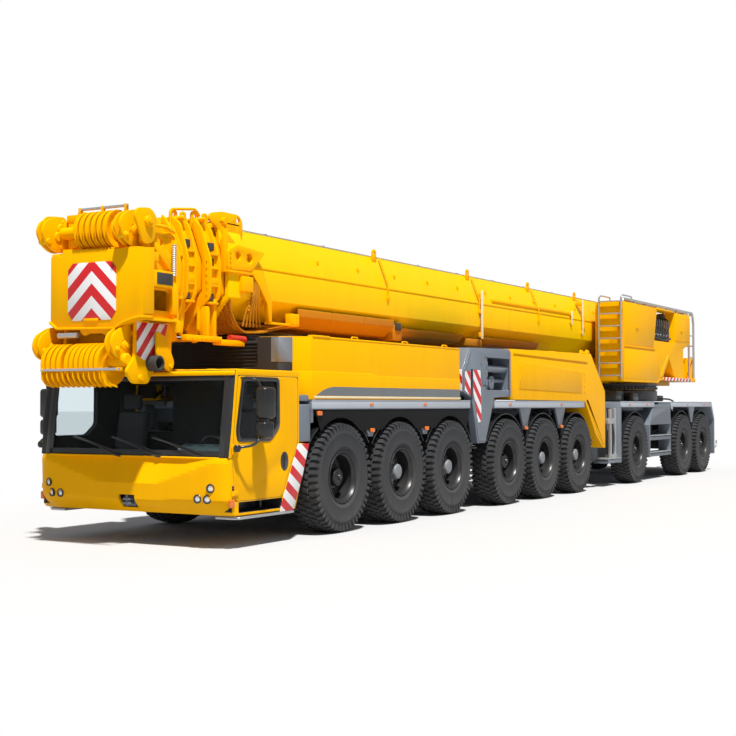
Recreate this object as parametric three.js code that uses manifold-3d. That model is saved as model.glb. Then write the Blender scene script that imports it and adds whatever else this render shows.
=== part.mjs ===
// A nine-axle mobile crane in its road position: carrier, slewing superstructure and telescopic boom.
// Millimetres. +X is the driving direction, +Y the crane's left, +Z up, the ground is Z = 0.
// Lengths along X are given from the front axle; the whole crane is then shifted so that the
// origin lies under the middle of its overall length.
import * as THREE from "three";
import { mergeVertices } from "three/addons/utils/BufferGeometryUtils.js";
import Module from "manifold-3d";

const wasm = await Module();
wasm.setup();

// ---------- driving dimensions ----------
const seat = 0.3; // gap where one piece rests on or against another
const running = 0.5; // radial gap of a shaft in its bore, and of a slide pad in its guide
const originFromFrontAxle = -8080; // middle of the overall length

// running gear
const axleSpacings = [1650, 1650, 2200, 1650, 1700, 3600, 3550, 1700];
const wheelRadius = 740;
const tyreWidth = 445;
const tyreOuterFace = 1550; // from the centre line
const rimRadius = 345;
const rimWellRadius = 292;
const kingpinOffset = 207; // wheel centre plane outboard of the kingpin
const hubFlangeInner = 140; // the wheel disc and hub, outboard of the kingpin
const hubFlangeThickness = 60;
const hubDepth = 70;
const strutY = 545; // suspension strut from the centre line
const strutTop = 1480;
const spindleRadius = 80;
const axleBossRadius = 88;
const axleBossHeight = 210;

// carrier
const frameHalfWidth = 430;
const frameBottom = 960;
const frameTop = 1600;
const deckBottom = 1650;
const deckTop = 1775;
const bodyHalfWidth = 1500;
const frameFront = 950;
const frameRear = -18900;
const frameNoseBottom = 430; // the low part under the cab

// driver's cab
const cabRear = 1040;
const cabWall = 50;
const cabRoof = 2130;
const cabFloor = 660;
const cabBottom = 400;
const screenFoot = 1110;
const screenHead = 2050;
const screenSide = 110; // from the cab's side to the windscreen opening
const mirrorReach = 240; // mirror arm outboard of the cab's side
const doorThickness = 60;
const doorGap = 6;
const doorHingeX = 2473;
const hingeStandOff = 15; // hinge line outboard of the cab's side
const hingeZ = [640, 1130];
const hingeHeight = 60;
const hingeRadius = 13;

// slewing superstructure
const slewX = -14000;
const slewRingRadius = 1400;
const slewRingBottom = 2045;
const slewRingTop = 2200;
const boomPivotX = -16200;
const boomPivotZ = 3450;
const boomPinRadius = 120;
const tailRear = -17510; // kept inside the circle that the swung outrigger beams leave free
const winchX = -17090;
const winchZ = 2780;
const winchRadius = 300;
const housingHalfWidth = 1400;
const housingTop = 3960;

// boom
const boomHalfWidth = 620;
const boomTop = 4030;
const boomBottom = 2850;
const boomWall = 16;
const boomStep = 34; // how much smaller each telescopic section is than the one around it
const boomFront = 1420;
const boomFloorHalfWidth = 300;
const boomRoofHalfWidth = 430;
const boomLowerKnee = 3120;
const boomUpperKnee = 3540;
const boomRear = -15000;
const sectionRears = [boomRear - 20, -14600, -14200, -13800];
const sectionFronts = [boomFront, 1800, 2200, 2700];
const slidePadLength = 400;
const headSideInner = 620; // boom head side plates
const headSideThickness = 80;
const upperSheaveX = 3080;
const upperSheaveZ = 3780;
const upperSheaveRadius = 310;
const lowerSheaveX = 3100;
const lowerSheaveZ = 2290;
const lowerSheaveRadius = 350;
const sheavePinRadius = 80;

// luffing cylinder
const cylinderFootX = -14000;
const cylinderFootZ = 2470;
const cylinderEyeX = -9950;
const cylinderEyeZ = 2650;
const cylinderRadius = 170;
const rodRadius = 115;
const rodEyeRadius = 130;
const rodEyeHalfWidth = 140;
const cylinderPinRadius = 85;

// outriggers
const outriggerPivotX = -10100;
const outriggerPivotY = 1215;
const outriggerInner = 960;
const outriggerPinRadius = 55;
const beamWall = 25;
const innerBeamInset = 45; // from the outer beam's sides to the inner beam's
const innerBeamBottom = 1850;
const innerBeamTop = 2630;
const jackX = -4440;
const jackY = (outriggerInner + bodyHalfWidth) / 2;
const jackRadius = 105;

// carrier engine cover
const coverFront = 1000;
const coverShoulderX = 760;
const coverShoulder = 330; // how far the front corners are cut back
const coverRear = -3620;
const coverTop = 2600;
const coverWall = 30;

// ---------- helpers ----------
const yellow = new THREE.MeshStandardMaterial({ color: 0xf6b500, roughness: 0.4, metalness: 0.1 });
const grey = new THREE.MeshStandardMaterial({ color: 0x7b8389, roughness: 0.5, metalness: 0.2 });
const darkSteel = new THREE.MeshStandardMaterial({ color: 0x2a2c2f, roughness: 0.6, metalness: 0.4 });
const rubber = new THREE.MeshStandardMaterial({ color: 0x232323, roughness: 0.9, metalness: 0 });
const chrome = new THREE.MeshStandardMaterial({ color: 0xc8ccd0, roughness: 0.2, metalness: 1 });
const glass = new THREE.MeshStandardMaterial({ color: 0x1b2428, roughness: 0.05, metalness: 0 });

// A copy of a geometry with nothing but its places, each shared by the faces that meet there.
function welded(geometry) {
  const plain = geometry.clone();
  for (const name of Object.keys(plain.attributes)) if (name !== "position") plain.deleteAttribute(name);
  return mergeVertices(plain, 1e-3);
}

// A geometry as a manifold-3d solid.
function solidOf(geometry) {
  const merged = welded(geometry);
  return new wasm.Manifold(
    new wasm.Mesh({
      numProp: 3,
      vertProperties: merged.attributes.position.array,
      triVerts: new Uint32Array(merged.index.array),
    }),
  );
}

// A manifold-3d solid as a three.js geometry.
function geometryOf(solid) {
  const mesh = solid.getMesh();
  const positions = new Float32Array(mesh.numVert * 3);
  for (let i = 0; i < mesh.numVert; i++)
    positions.set(mesh.vertProperties.subarray(i * mesh.numProp, i * mesh.numProp + 3), i * 3);
  return new THREE.BufferGeometry()
    .setAttribute("position", new THREE.BufferAttribute(positions, 3))
    .setIndex(new THREE.BufferAttribute(mesh.triVerts, 1));
}

const join = (...parts) => geometryOf(parts.map(solidOf).reduce((a, b) => a.add(b)));
const cut = (body, ...tools) =>
  geometryOf(tools.map(solidOf).reduce((a, b) => a.subtract(b), solidOf(body)));
const common = (a, b) => geometryOf(solidOf(a).intersect(solidOf(b)));

const box = (x0, x1, y0, y1, z0, z1) =>
  new THREE.BoxGeometry(Math.abs(x1 - x0), Math.abs(y1 - y0), Math.abs(z1 - z0)).translate(
    (x0 + x1) / 2,
    (y0 + y1) / 2,
    (z0 + z1) / 2,
  );

// An outline in the side view, [x, z] points, extruded from y0 to y1.
function sidePlate(points, y0, y1) {
  const shape = new THREE.Shape(points.map(([x, z]) => new THREE.Vector2(x, z)));
  const depth = Math.abs(y1 - y0);
  return new THREE.ExtrudeGeometry(shape, { depth, bevelEnabled: false })
    .rotateX(Math.PI / 2)
    .translate(0, Math.max(y0, y1), 0);
}

// An outline in the top view, [x, y] points, extruded from z0 to z1.
function floorPlate(points, z0, z1) {
  const shape = new THREE.Shape(points.map(([x, y]) => new THREE.Vector2(x, y)));
  return new THREE.ExtrudeGeometry(shape, { depth: z1 - z0, bevelEnabled: false }).translate(0, 0, z0);
}

// An outline in the front view, [y, z] points, extruded from x0 to x1.
function crossPlate(points, x0, x1) {
  const shape = new THREE.Shape(points.map(([y, z]) => new THREE.Vector2(y, z)));
  return new THREE.ExtrudeGeometry(shape, { depth: x1 - x0, bevelEnabled: false })
    .rotateX(Math.PI / 2)
    .rotateZ(Math.PI / 2)
    .translate(x0, 0, 0);
}

// Round bars along each axis.
const round = (radius, length, sides, turn) =>
  new THREE.CylinderGeometry(radius, radius, length, sides, 1, false, turn);
const barZ = (radius, x, y, z0, z1, sides = 16, turn = 0) =>
  round(radius, z1 - z0, sides, turn).rotateX(Math.PI / 2).translate(x, y, (z0 + z1) / 2);
const barY = (radius, x, z, y0, y1, sides = 16, turn = 0) =>
  round(radius, y1 - y0, sides, turn).translate(x, (y0 + y1) / 2, z);
const barX = (radius, y, z, x0, x1, sides = 16, turn = 0) =>
  round(radius, x1 - x0, sides, turn).rotateZ(Math.PI / 2).translate((x0 + x1) / 2, y, z);

// Bores for bars of a radius: the flats stand the running gap clear of the bar's corners.
const across = (radius, sides) => radius / Math.cos(Math.PI / sides);
const boreFor = (bar) => (radius, a, b, from, to, sides = 16) =>
  bar(across(radius + running, sides), a, b, from, to, sides, Math.PI / sides);
const boreX = boreFor(barX);
const boreY = boreFor(barY);
const boreZ = boreFor(barZ);

// The same faces seen from their other side.
function flipped(geometry) {
  const merged = welded(geometry);
  const index = merged.index.array;
  for (let i = 0; i < index.length; i += 3) [index[i + 1], index[i + 2]] = [index[i + 2], index[i + 1]];
  return merged;
}

// The mirror image of a geometry on the other side of the crane.
function mirrored(geometry) {
  const merged = flipped(geometry);
  const positions = merged.attributes.position.array;
  for (let i = 1; i < positions.length; i += 3) positions[i] = -positions[i];
  return merged;
}

// A convex outline moved inwards by a distance, edge by edge.
function inset(points, distance) {
  const edges = points.map((p, i) => {
    const q = points[(i + 1) % points.length];
    const length = Math.hypot(q[0] - p[0], q[1] - p[1]);
    const normal = [-(q[1] - p[1]) / length, (q[0] - p[0]) / length];
    return { normal, offset: normal[0] * p[0] + normal[1] * p[1] + distance };
  });
  return edges.map((e, i) => {
    const before = edges[(i + edges.length - 1) % edges.length];
    const d = before.normal[0] * e.normal[1] - before.normal[1] * e.normal[0];
    return [
      (before.offset * e.normal[1] - e.offset * before.normal[1]) / d,
      (before.normal[0] * e.offset - e.normal[0] * before.offset) / d,
    ];
  });
}

const crane = new THREE.Group();
const fromFrontAxle = new THREE.Group();
fromFrontAxle.position.x = -originFromFrontAxle;
crane.add(fromFrontAxle);

function add(name, geometry, material) {
  const mesh = new THREE.Mesh(geometry, material);
  mesh.name = name;
  fromFrontAxle.add(mesh);
  return mesh;
}

// ---------- running gear ----------
const axleX = axleSpacings.reduce((places, gap) => [...places, places.at(-1) - gap], [0]);
const wheelPlane = tyreOuterFace - tyreWidth / 2;
const kingpinY = wheelPlane - kingpinOffset;
const wheelSides = 16;

// Tyre, rim and hub in one turned piece, spinning about +Y, with the outer face towards +Y.
function wheelGeometry() {
  const half = tyreWidth / 2;
  const tread = across(wheelRadius, wheelSides);
  const bore = across(spindleRadius + running, wheelSides);
  const discInner = hubFlangeInner - kingpinOffset;
  const discOuter = discInner + hubFlangeThickness;
  const boreEnd = discOuter + hubDepth;
  const outline = [
    [0, boreEnd + 40],
    [0, boreEnd],
    [bore, boreEnd],
    [bore, discInner],
    [rimWellRadius, discInner],
    [rimRadius, -half],
    [tread - 70, -half],
    [tread, -half + 70],
    [tread, half - 70],
    [tread - 70, half],
    [rimRadius, half],
    [rimWellRadius, discOuter],
    [130, discOuter],
    [130, boreEnd + 40],
  ];
  const points = [...outline, outline[0]].map(([r, y]) => new THREE.Vector2(r, y));
  const turned = new THREE.LatheGeometry(points, wheelSides, Math.PI / wheelSides);
  const solid = solidOf(turned);
  return solid.volume() < 0 ? flipped(turned) : geometryOf(solid);
}

// The steering knuckle of a left wheel, about its kingpin at the origin, +Y outboard.
function knuckleGeometry() {
  const halfBoss = axleBossHeight / 2;
  const webInner = axleBossRadius + 8;
  const webOuter = webInner + 32;
  const forkTop = halfBoss + 40;
  const spindleEnd = hubFlangeInner + hubFlangeThickness + hubDepth - 4;
  const fork = (z0, z1) => box(-75, 75, -75, webOuter, z0, z1);
  return join(
    box(-75, 75, webInner, webOuter, -forkTop, forkTop),
    fork(halfBoss + running, forkTop),
    fork(-forkTop, -halfBoss - running),
    barY(spindleRadius, 0, 0, webOuter - 5, spindleEnd, 16),
    box(-250, -60, -60, -20, halfBoss + 8, forkTop),
  );
}

// All nine axle beams, their suspension struts, and the propeller shafts that join them.
function axlesGeometry() {
  const pieces = [];
  for (const x of axleX) {
    pieces.push(box(x - 85, x + 85, -kingpinY + 40, kingpinY - 40, wheelRadius - 80, wheelRadius + 80));
    pieces.push(barX(190, 0, wheelRadius, x - 150, x + 150, 8));
    for (const side of [-1, 1]) {
      const y = side * kingpinY;
      const half = axleBossHeight / 2;
      pieces.push(barZ(axleBossRadius, x, y, wheelRadius - half, wheelRadius + half, 10));
      pieces.push(barZ(62, x, side * strutY, wheelRadius, strutTop - seat, 6));
    }
  }
  pieces.push(barX(55, 0, wheelRadius, axleX.at(-1), axleX[0], 8));
  return join(...pieces);
}

add("axles", axlesGeometry(), darkSteel);
const wheelShape = wheelGeometry();
const knuckleShape = knuckleGeometry();
axleX.forEach((x, i) => {
  for (const [side, sign] of [["left", 1], ["right", -1]]) {
    const outward = sign > 0 ? (g) => g : mirrored;
    const knuckle = add(`knuckle_${i + 1}_${side}`, outward(knuckleShape), darkSteel);
    knuckle.position.set(x, sign * kingpinY, wheelRadius);
    const wheel = add(`wheel_${i + 1}_${side}`, outward(wheelShape), rubber);
    wheel.position.set(x, sign * wheelPlane, wheelRadius);
  }
});

// ---------- carrier frame ----------
// The box frame, the pedestal under the slewing ring, the outrigger hinge lugs and the towing hook.
const lugHeights = [
  [frameBottom, frameBottom + 120],
  [frameTop - 120, frameTop],
];
function frameGeometry() {
  const pieces = [
    box(frameRear, frameFront, -frameHalfWidth, frameHalfWidth, frameBottom, frameTop),
    box(780, frameFront, -frameHalfWidth, frameHalfWidth, frameNoseBottom, frameBottom + 20),
    box(frameFront - 20, 2300, -frameHalfWidth, frameHalfWidth, frameNoseBottom, 560),
    barZ(slewRingRadius - 60, slewX, 0, frameTop - 20, slewRingBottom - seat, 32),
    box(frameRear - 150, frameRear - 40, -1250, 1250, 520, 900),
    box(frameRear - 100, frameRear + 40, -300, 300, 880, 1000),
    box(frameRear - 560, frameRear - 140, -45, 45, 560, 640),
    box(frameRear - 710, frameRear - 540, -45, 45, 560, 740),
  ];
  for (const x of axleX)
    for (const side of [-1, 1]) {
      const y0 = side * (frameHalfWidth - 20);
      pieces.push(box(x - 75, x + 75, y0, side * (strutY + 70), strutTop, strutTop + 80));
    }
  for (const side of [-1, 1]) {
    const y = side * outriggerPivotY;
    for (const [z0, z1] of lugHeights) {
      pieces.push(
        box(outriggerPivotX - 110, outriggerPivotX + 110, 0, y, z0, z1),
        barZ(110, outriggerPivotX, y, z0, z1, 16),
      );
    }
    pieces.push(barZ(outriggerPinRadius, outriggerPivotX, y, 900, 1760, 12));
  }
  return join(...pieces);
}
add("chassis_frame", frameGeometry(), grey);

// ---------- deck and mudguards ----------
// Full-width deck plates over the wheel groups, with drop panels between and behind the wheels.
function deckGeometry() {
  const outer = bodyHalfWidth;
  const gussets = [];
  const gusset = (x, side) => {
    const plate = sidePlate(
      [
        [x - 260, deckBottom + 10],
        [x - 60, 1270],
        [x + 60, 1270],
        [x + 260, deckBottom + 10],
      ],
      side * (outer - 60),
      side * (outer - 20),
    );
    gussets.push(plate);
  };
  for (const side of [-1, 1]) {
    for (const i of [0, 1, 3, 4, 7]) gusset((axleX[i] + axleX[i + 1]) / 2, side);
    // behind the cab
    gussets.push(box(695, 755, side * 480, side * (outer - 5), 1480, deckTop - 5));
    // the slanted ends round the front outrigger leg
    gussets.push(
      sidePlate(
        [[-4020, deckBottom + 5], [-4190, 1150], [-4150, 1150], [-3980, deckBottom + 5]],
        side * 480,
        side * 925,
      ),
      sidePlate(
        [[-4990, deckBottom + 5], [-4700, 1230], [-4660, 1230], [-4940, deckBottom + 5]],
        side * 480,
        side * 925,
      ),
      // behind the sixth wheel
      sidePlate(
        [[-9220, deckTop - 5], [-9760, 800], [-9700, 780], [-9160, deckBottom + 5]],
        side * 480,
        side * 760,
      ),
      // before and behind the seventh wheel, with the boarding step
      box(-11480, -11370, side * 480, side * (outer - 5), 480, deckTop - 5),
      box(-11475, -10640, side * 1180, side * (outer - 10), 490, 560),
      sidePlate(
        [
          [-13720, deckTop - 5],
          [-13400, 1250],
          [-13400, 520],
          [-13460, 520],
          [-13460, 1250],
          [-13790, deckTop - 5],
        ],
        side * 480,
        side * (outer - 5),
      ),
      // side locker and steps between the seventh and eighth wheels
      sidePlate(
        [[-13440, 1255], [-13790, 1700], [-14990, 1700], [-15085, 1255]],
        side * 900,
        side * (outer - 10),
      ),
      box(-15075, -13430, side * 1180, side * (outer - 15), 530, 600),
      box(-15075, -13430, side * 1185, side * (outer - 15), 900, 980),
      box(-15080, -15030, side * 1190, side * (outer - 20), 525, 1270),
      // behind the last wheel
      sidePlate(
        [
          [-18550, deckTop - 5],
          [-18560, deckBottom + 5],
          [-18850, 1310],
          [-18850, 430],
          [-18935, 430],
          [-18935, 1330],
          [-18650, deckTop - 5],
        ],
        side * 480,
        side * (outer - 5),
      ),
    );
  }
  const bearer = frameHalfWidth - 10;
  const plates = [
    box(-4020, 760, -outer, outer, deckBottom, deckTop),
    box(-9240, -4940, -outer, outer, deckBottom, deckTop),
    box(-5000, -3990, -925, 925, deckBottom, deckTop),
    box(-13760, -11380, -outer, outer, deckBottom, deckTop),
    box(-11400, -9200, -760, 760, deckBottom, deckTop),
    box(-18640, -15000, -outer, outer, deckBottom, deckTop),
    box(-15010, -13700, -outer, outer, deckBottom, deckTop - 60),
    // bearers on the frame
    box(frameRear + 200, frameFront - 200, -bearer, bearer, frameTop + seat, deckBottom + 10),
  ];
  const pedestal = barZ(across(slewRingRadius - 60 + 40, 32), slewX, 0, frameTop - 50, deckTop + 50, 32);
  const hingeClearance = box(-10700, -9280, 780, 1600, 1640, 1800);
  const whole = join(...plates, ...gussets);
  return cut(whole, pedestal, hingeClearance, mirrored(hingeClearance));
}
add("deck_mudguards", deckGeometry(), grey);

// ---------- driver's cab ----------
// Side outline of the cab, its doors and its windows.
const cabFront = [
  [2400, cabRoof],
  [2530, 1070],
  [2620, 780],
  [2600, 560],
  [2420, 400],
];
const cabSide = [[cabRear, cabRoof], [cabRear, 1215], [1400, 540], [2380, 540], ...[...cabFront].reverse()];
const doorSide = [[1075, 2060], [1075, 1235], [1425, 575], [2400, 575], [2470, 1080], [2350, 2060]];
const doorWindow = [[1520, 2020], [1520, 1440], [1720, 1300], [2330, 1300], [2360, 1420], [2250, 2020]];
const cornerDepth = 150;
const cornerWidth = 260;
const cornerSteps = 5;

const hingeY = bodyHalfWidth + hingeStandOff;

function cabGeometry() {
  const corner = [];
  for (let i = 0; i <= cornerSteps; i++) {
    const t = ((i / cornerSteps) * Math.PI) / 2;
    corner.push([
      2640 - cornerDepth * (1 - Math.sin(t)),
      bodyHalfWidth - cornerWidth * (1 - Math.cos(t)),
    ]);
  }
  const plan = [
    [cabRear, -bodyHalfWidth],
    ...corner.map(([x, y]) => [x, -y]),
    ...[...corner].reverse(),
    [cabRear, bodyHalfWidth],
  ];
  const outer = common(
    sidePlate(
      [
        [cabRear, cabRoof],
        [cabRear, 900],
        [1180, cabBottom],
        [2380, cabBottom],
        ...[...cabFront].reverse(),
      ],
      -bodyHalfWidth,
      bodyHalfWidth,
    ),
    floorPlate(plan, 300, 2300),
  );
  const inner = common(
    sidePlate(
      [
        [cabRear + cabWall, cabRoof - cabWall],
        [cabRear + cabWall, 1240],
        [1420, cabFloor],
        [2480, cabFloor],
        [2540, 790],
        [2475, 1070],
        [2350, cabRoof - cabWall],
      ],
      -bodyHalfWidth + cabWall,
      bodyHalfWidth - cabWall,
    ),
    floorPlate(plan.map(([x, y]) => [x, y * 0.965]), 300, 2300),
  );
  const openings = [inner];
  const sill = cabFloor + 40;
  // windscreen
  const halfScreen = bodyHalfWidth - screenSide;
  openings.push(box(2200, 2700, -halfScreen, halfScreen, screenFoot, screenHead));
  // rear windows and the wheel-arch hollow below the floor
  for (const side of [-1, 1]) {
    openings.push(box(1000, 1120, side * 500, side * 1150, 1350, 1980));
    const reach = [side * (bodyHalfWidth - doorThickness - 12), side * (bodyHalfWidth + 50)];
    openings.push(sidePlate(outset(doorSide, doorGap), reach[0], reach[1]));
    // the door opening itself, behind the rebate that the door closes against
    openings.push(
      sidePlate(
        [[1150, 2000], [1150, 1280], [1480, sill], [2360, sill], [2420, 1080], [2300, 2000]],
        side * (bodyHalfWidth - 200),
        side * (bodyHalfWidth + 20),
      ),
    );
    // foot well of the boarding step
    openings.push(
      sidePlate(
        [[1420, 430], [1420, 560], [2340, 560], [2340, 430]],
        side * (bodyHalfWidth - 320),
        side * (bodyHalfWidth + 60),
      ),
    );
  }
  // underside hollow
  openings.push(box(1220, 2380, 350 - bodyHalfWidth, bodyHalfWidth - 350, 380, 600));
  const frameSlot = frameHalfWidth + 20;
  const seatOnFrame = box(700, 2320, -frameSlot, frameSlot, 380, cabFloor - cabWall - 40);
  return join(cut(outer, ...openings, seatOnFrame), ...cabExtras());
}

function outset(points, distance) {
  return inset(points, -distance);
}

// Flared panels before the first wheels, with the bearers that stand on the frame.
function cabExtras() {
  const pieces = [];
  for (const side of [-1, 1]) {
    pieces.push(
      sidePlate(
        [[1060, 1230], [880, 1215], [960, 800], [1120, 400], [1300, 400], [1420, 520]],
        side * (bodyHalfWidth - 45),
        side * (bodyHalfWidth - 5),
      ),
      box(1060, 2300, side * 200, side * 330, 560 + seat, cabFloor - 30),
    );
    for (const z of hingeZ) pieces.push(side > 0 ? cabHalves(z) : mirrored(cabHalves(z)));
  }
  return pieces;
}
add("cab_shell", cabGeometry(), yellow);

// Hinges stand just outside the cab's side; each has a door half below a cab half.
function doorHalves(z) {
  const side = bodyHalfWidth;
  return join(
    box(doorHingeX - 130, doorHingeX + 2, side + seat, hingeY, z, z + hingeHeight),
    box(doorHingeX - 130, doorHingeX - 80, side - 10, side + 10, z, z + hingeHeight),
    barZ(hingeRadius, doorHingeX, hingeY, z, z + hingeHeight, 8),
  );
}

function cabHalves(z) {
  const side = bodyHalfWidth;
  const bottom = z + hingeHeight + seat;
  return join(
    box(doorHingeX - 4, doorHingeX + 15, side - 12, hingeY, bottom, bottom + hingeHeight),
    barZ(hingeRadius, doorHingeX, hingeY, bottom, bottom + hingeHeight, 8),
  );
}

// The left door with its mirror; the right one is its mirror image.
function doorGeometry() {
  const armY = bodyHalfWidth + mirrorReach;
  const panel = cut(
    sidePlate(doorSide, bodyHalfWidth - doorThickness, bodyHalfWidth),
    sidePlate(doorWindow, bodyHalfWidth - doorThickness - 20, bodyHalfWidth + 20),
  );
  return join(
    panel,
    ...hingeZ.map(doorHalves),
    box(2300, 2350, bodyHalfWidth - 20, armY, 1215, 1255),
    box(2190, 2330, armY - 40, armY, 1215, 1255),
    box(2190, 2240, armY - 40, armY, 1215, 1420),
    box(2080, 2330, armY - 100, armY + 120, 1400, 1930),
    box(2215, 2250, armY - 40, armY - 5, 1900, 2050),
    box(2215, 2250, bodyHalfWidth - 20, armY - 5, 2015, 2050),
  );
}
const door = doorGeometry();
add("cab_door_left", door, yellow);
add("cab_door_right", mirrored(door), yellow);

// The windscreen stands in its opening, leaning back with the pillars.
const screenLean = (2530 - 2400) / (cabRoof - 1070);
const screenX = (z) => 2518 - screenLean * (z - 1070);
const screenBottom = screenFoot + seat;
const screenTop = screenHead - seat;
const screenHalfWidth = bodyHalfWidth - screenSide - seat;
add(
  "windscreen",
  sidePlate(
    [
      [screenX(screenTop) - 14, screenTop],
      [screenX(screenBottom) - 14, screenBottom],
      [screenX(screenBottom), screenBottom],
      [screenX(screenTop), screenTop],
    ],
    -screenHalfWidth,
    screenHalfWidth,
  ),
  glass,
);

// Floor, dashboard, steering wheel and the two seats.
function interiorGeometry() {
  const floorTop = cabFloor + 25;
  const halfFloor = bodyHalfWidth - 120;
  const halfDash = bodyHalfWidth - 150;
  const pieces = [
    box(1440, 2440, -halfFloor, halfFloor, cabFloor + seat, floorTop),
    sidePlate(
      [[2160, 980], [2130, 1060], [2430, 1060], [2440, floorTop - 5], [2330, floorTop - 5]],
      -halfDash,
      halfDash,
    ),
    barX(45, 900, 1040, 1980, 2200, 8),
    barX(230, 900, 1120, 1950, 1985, 16),
  ];
  for (const y of [900, -900])
    pieces.push(
      box(1560, 1900, y - 180, y + 180, floorTop - 5, 860),
      box(1480, 1980, y - 250, y + 250, 850, 1000),
      sidePlate([[1480, 990], [1620, 990], [1500, 1640], [1380, 1640]], y - 240, y + 240),
      sidePlate([[1410, 1630], [1490, 1630], [1470, 1860], [1390, 1860]], y - 140, y + 140),
    );
  return join(...pieces);
}
add("cab_interior", interiorGeometry(), darkSteel);

// ---------- carrier engine and its cover ----------
function engineCoverGeometry() {
  const plan = (offset) => [
    [coverRear + offset, -bodyHalfWidth + offset],
    [coverShoulderX, -bodyHalfWidth + offset],
    [coverFront - offset, -bodyHalfWidth + coverShoulder],
    [coverFront - offset, bodyHalfWidth - coverShoulder],
    [coverShoulderX, bodyHalfWidth - offset],
    [coverRear + offset, bodyHalfWidth - offset],
  ];
  const shell = cut(
    floorPlate(plan(0), deckTop + seat, coverTop),
    floorPlate(plan(coverWall), deckTop - 50, coverTop - coverWall),
  );
  // the open radiator bay behind the cab
  const bay = box(150, 1100, -850, 850, deckTop - 50, coverTop + 50);
  const bayWall = cut(box(110, coverFront - seat, -890, 890, deckTop + seat, coverTop), bay);
  return join(cut(shell, bay), bayWall);
}
add("engine_cover", engineCoverGeometry(), yellow);
add("carrier_engine", box(-2300, -500, -480, 480, deckTop + seat, 2480), darkSteel);

// ---------- front outriggers ----------
// A hollow box beam on a vertical hinge pin, folded forwards along the carrier.
function outriggerBeamGeometry() {
  const side = [
    [-5640, 1800],
    [-9270, 1785],
    [-9900, 1100],
    [-10330, 830],
    [-10440, 830],
    [-10440, 1980],
    [-9610, 2730],
    [-5640, 2680],
  ];
  const body = sidePlate([...side].reverse(), outriggerInner, bodyHalfWidth);
  const tools = [
    box(-9300, -5950, outriggerInner + beamWall, bodyHalfWidth - beamWall, 1830, 2650),
    // the mouth guides the inner beam
    box(
      -6000,
      -5600,
      outriggerInner + innerBeamInset - running,
      bodyHalfWidth - innerBeamInset + running,
      innerBeamBottom - running,
      innerBeamTop + running,
    ),
  ];
  for (const [z0, z1] of lugHeights)
    tools.push(
      box(-10500, outriggerPivotX + 125, outriggerInner - 50, outriggerPivotY + 125, z0 - 6, z1 + 6),
    );
  tools.push(boreZ(outriggerPinRadius, outriggerPivotX, outriggerPivotY, 700, 1780, 12));
  return cut(body, ...tools);
}

// The sliding inner beam, its head and the leg in which the jack slides.
function outriggerHeadGeometry() {
  const tube = box(
    -8900,
    -5600,
    outriggerInner + innerBeamInset,
    bodyHalfWidth - innerBeamInset,
    innerBeamBottom,
    innerBeamTop,
  );
  const pad = box(
    -8900,
    -8700,
    outriggerInner + beamWall + running,
    bodyHalfWidth - beamWall - running,
    1830 + running,
    2650 - running,
  );
  const head = sidePlate(
    [
      [-3720, 1930],
      [-3720, 2270],
      [-3990, 2640],
      [-5560, 2670],
      [-5630, 2640],
      [-5630, 1850],
      [-4960, 1830],
      [-4600, 1080],
      [-4290, 1080],
      [-4180, 1500],
      [-4060, 1830],
    ],
    outriggerInner,
    bodyHalfWidth,
  );
  const bore = boreZ(jackRadius, jackX, jackY, 900, 2500);
  // the inner front corner is cut back, so that the head clears the engine cover as it swings out
  const cornerBevel = floorPlate(
    [
      [-3700, outriggerInner - 20],
      [-3700, outriggerInner + 310],
      [-4120, outriggerInner - 20],
    ],
    900,
    2800,
  );
  // the open recess in the head's outer side
  const recess = box(-5600, -4680, bodyHalfWidth - 330, bodyHalfWidth + 50, 1960, 2500);
  return cut(join(tube, pad, head), bore, cornerBevel, recess);
}
const jackGeometry = join(
  barZ(jackRadius, jackX, jackY, 1020, 2400, 16),
  barZ(140, jackX, jackY, 1000, 1050, 16),
);
const outriggerBeam = outriggerBeamGeometry();
const outriggerHead = outriggerHeadGeometry();
for (const [side, outward] of [["left", (g) => g], ["right", mirrored]]) {
  add(`outrigger_beam_${side}`, outward(outriggerBeam), yellow);
  add(`outrigger_head_${side}`, outward(outriggerHead), grey);
  add(`outrigger_jack_${side}`, outward(jackGeometry), chrome);
}

// ---------- slewing superstructure ----------
const cheekInner = boomHalfWidth + 70;
const cheekOuter = cheekInner + 60;
function superstructureGeometry() {
  const cheekSide = [
    [-12150, 2190],
    [tailRear + 80, 2190],
    [tailRear + 80, 3000],
    [-16900, 3400],
    [-16650, 3700],
    [-16200, 3800],
    [-15750, 3700],
    [-15300, 3200],
    [-13300, 2760],
    [-12150, 2620],
  ];
  const pieces = [
    barZ(slewRingRadius, slewX, 0, slewRingBottom, slewRingTop, 32),
    box(tailRear + 80, -12150, -cheekOuter, cheekOuter, slewRingTop - 10, slewRingTop + 60),
    // cylinder foot bracket
    box(cylinderFootX - 150, cylinderFootX + 150, -360, -260, 2190, cylinderFootZ + 140),
    box(cylinderFootX - 150, cylinderFootX + 150, 260, 360, 2190, cylinderFootZ + 140),
    barY(cylinderPinRadius, cylinderFootX, cylinderFootZ, -350, 350, 12),
    // winch drum behind the boom foot
    barY(winchRadius, winchX, winchZ, -620, 620, 20),
    barY(winchRadius / 2, winchX, winchZ, -cheekInner - 10, cheekInner + 10, 12),
  ];
  for (const side of [-1, 1]) {
    pieces.push(sidePlate([...cheekSide].reverse(), side * cheekInner, side * cheekOuter));
    pieces.push(
      side > 0
        ? barY(boomPinRadius, boomPivotX, boomPivotZ, 470, cheekInner + 10, 16)
        : barY(boomPinRadius, boomPivotX, boomPivotZ, -cheekInner - 10, -470, 16),
    );
  }
  return join(...pieces);
}
add("superstructure_frame", superstructureGeometry(), yellow);

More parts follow.
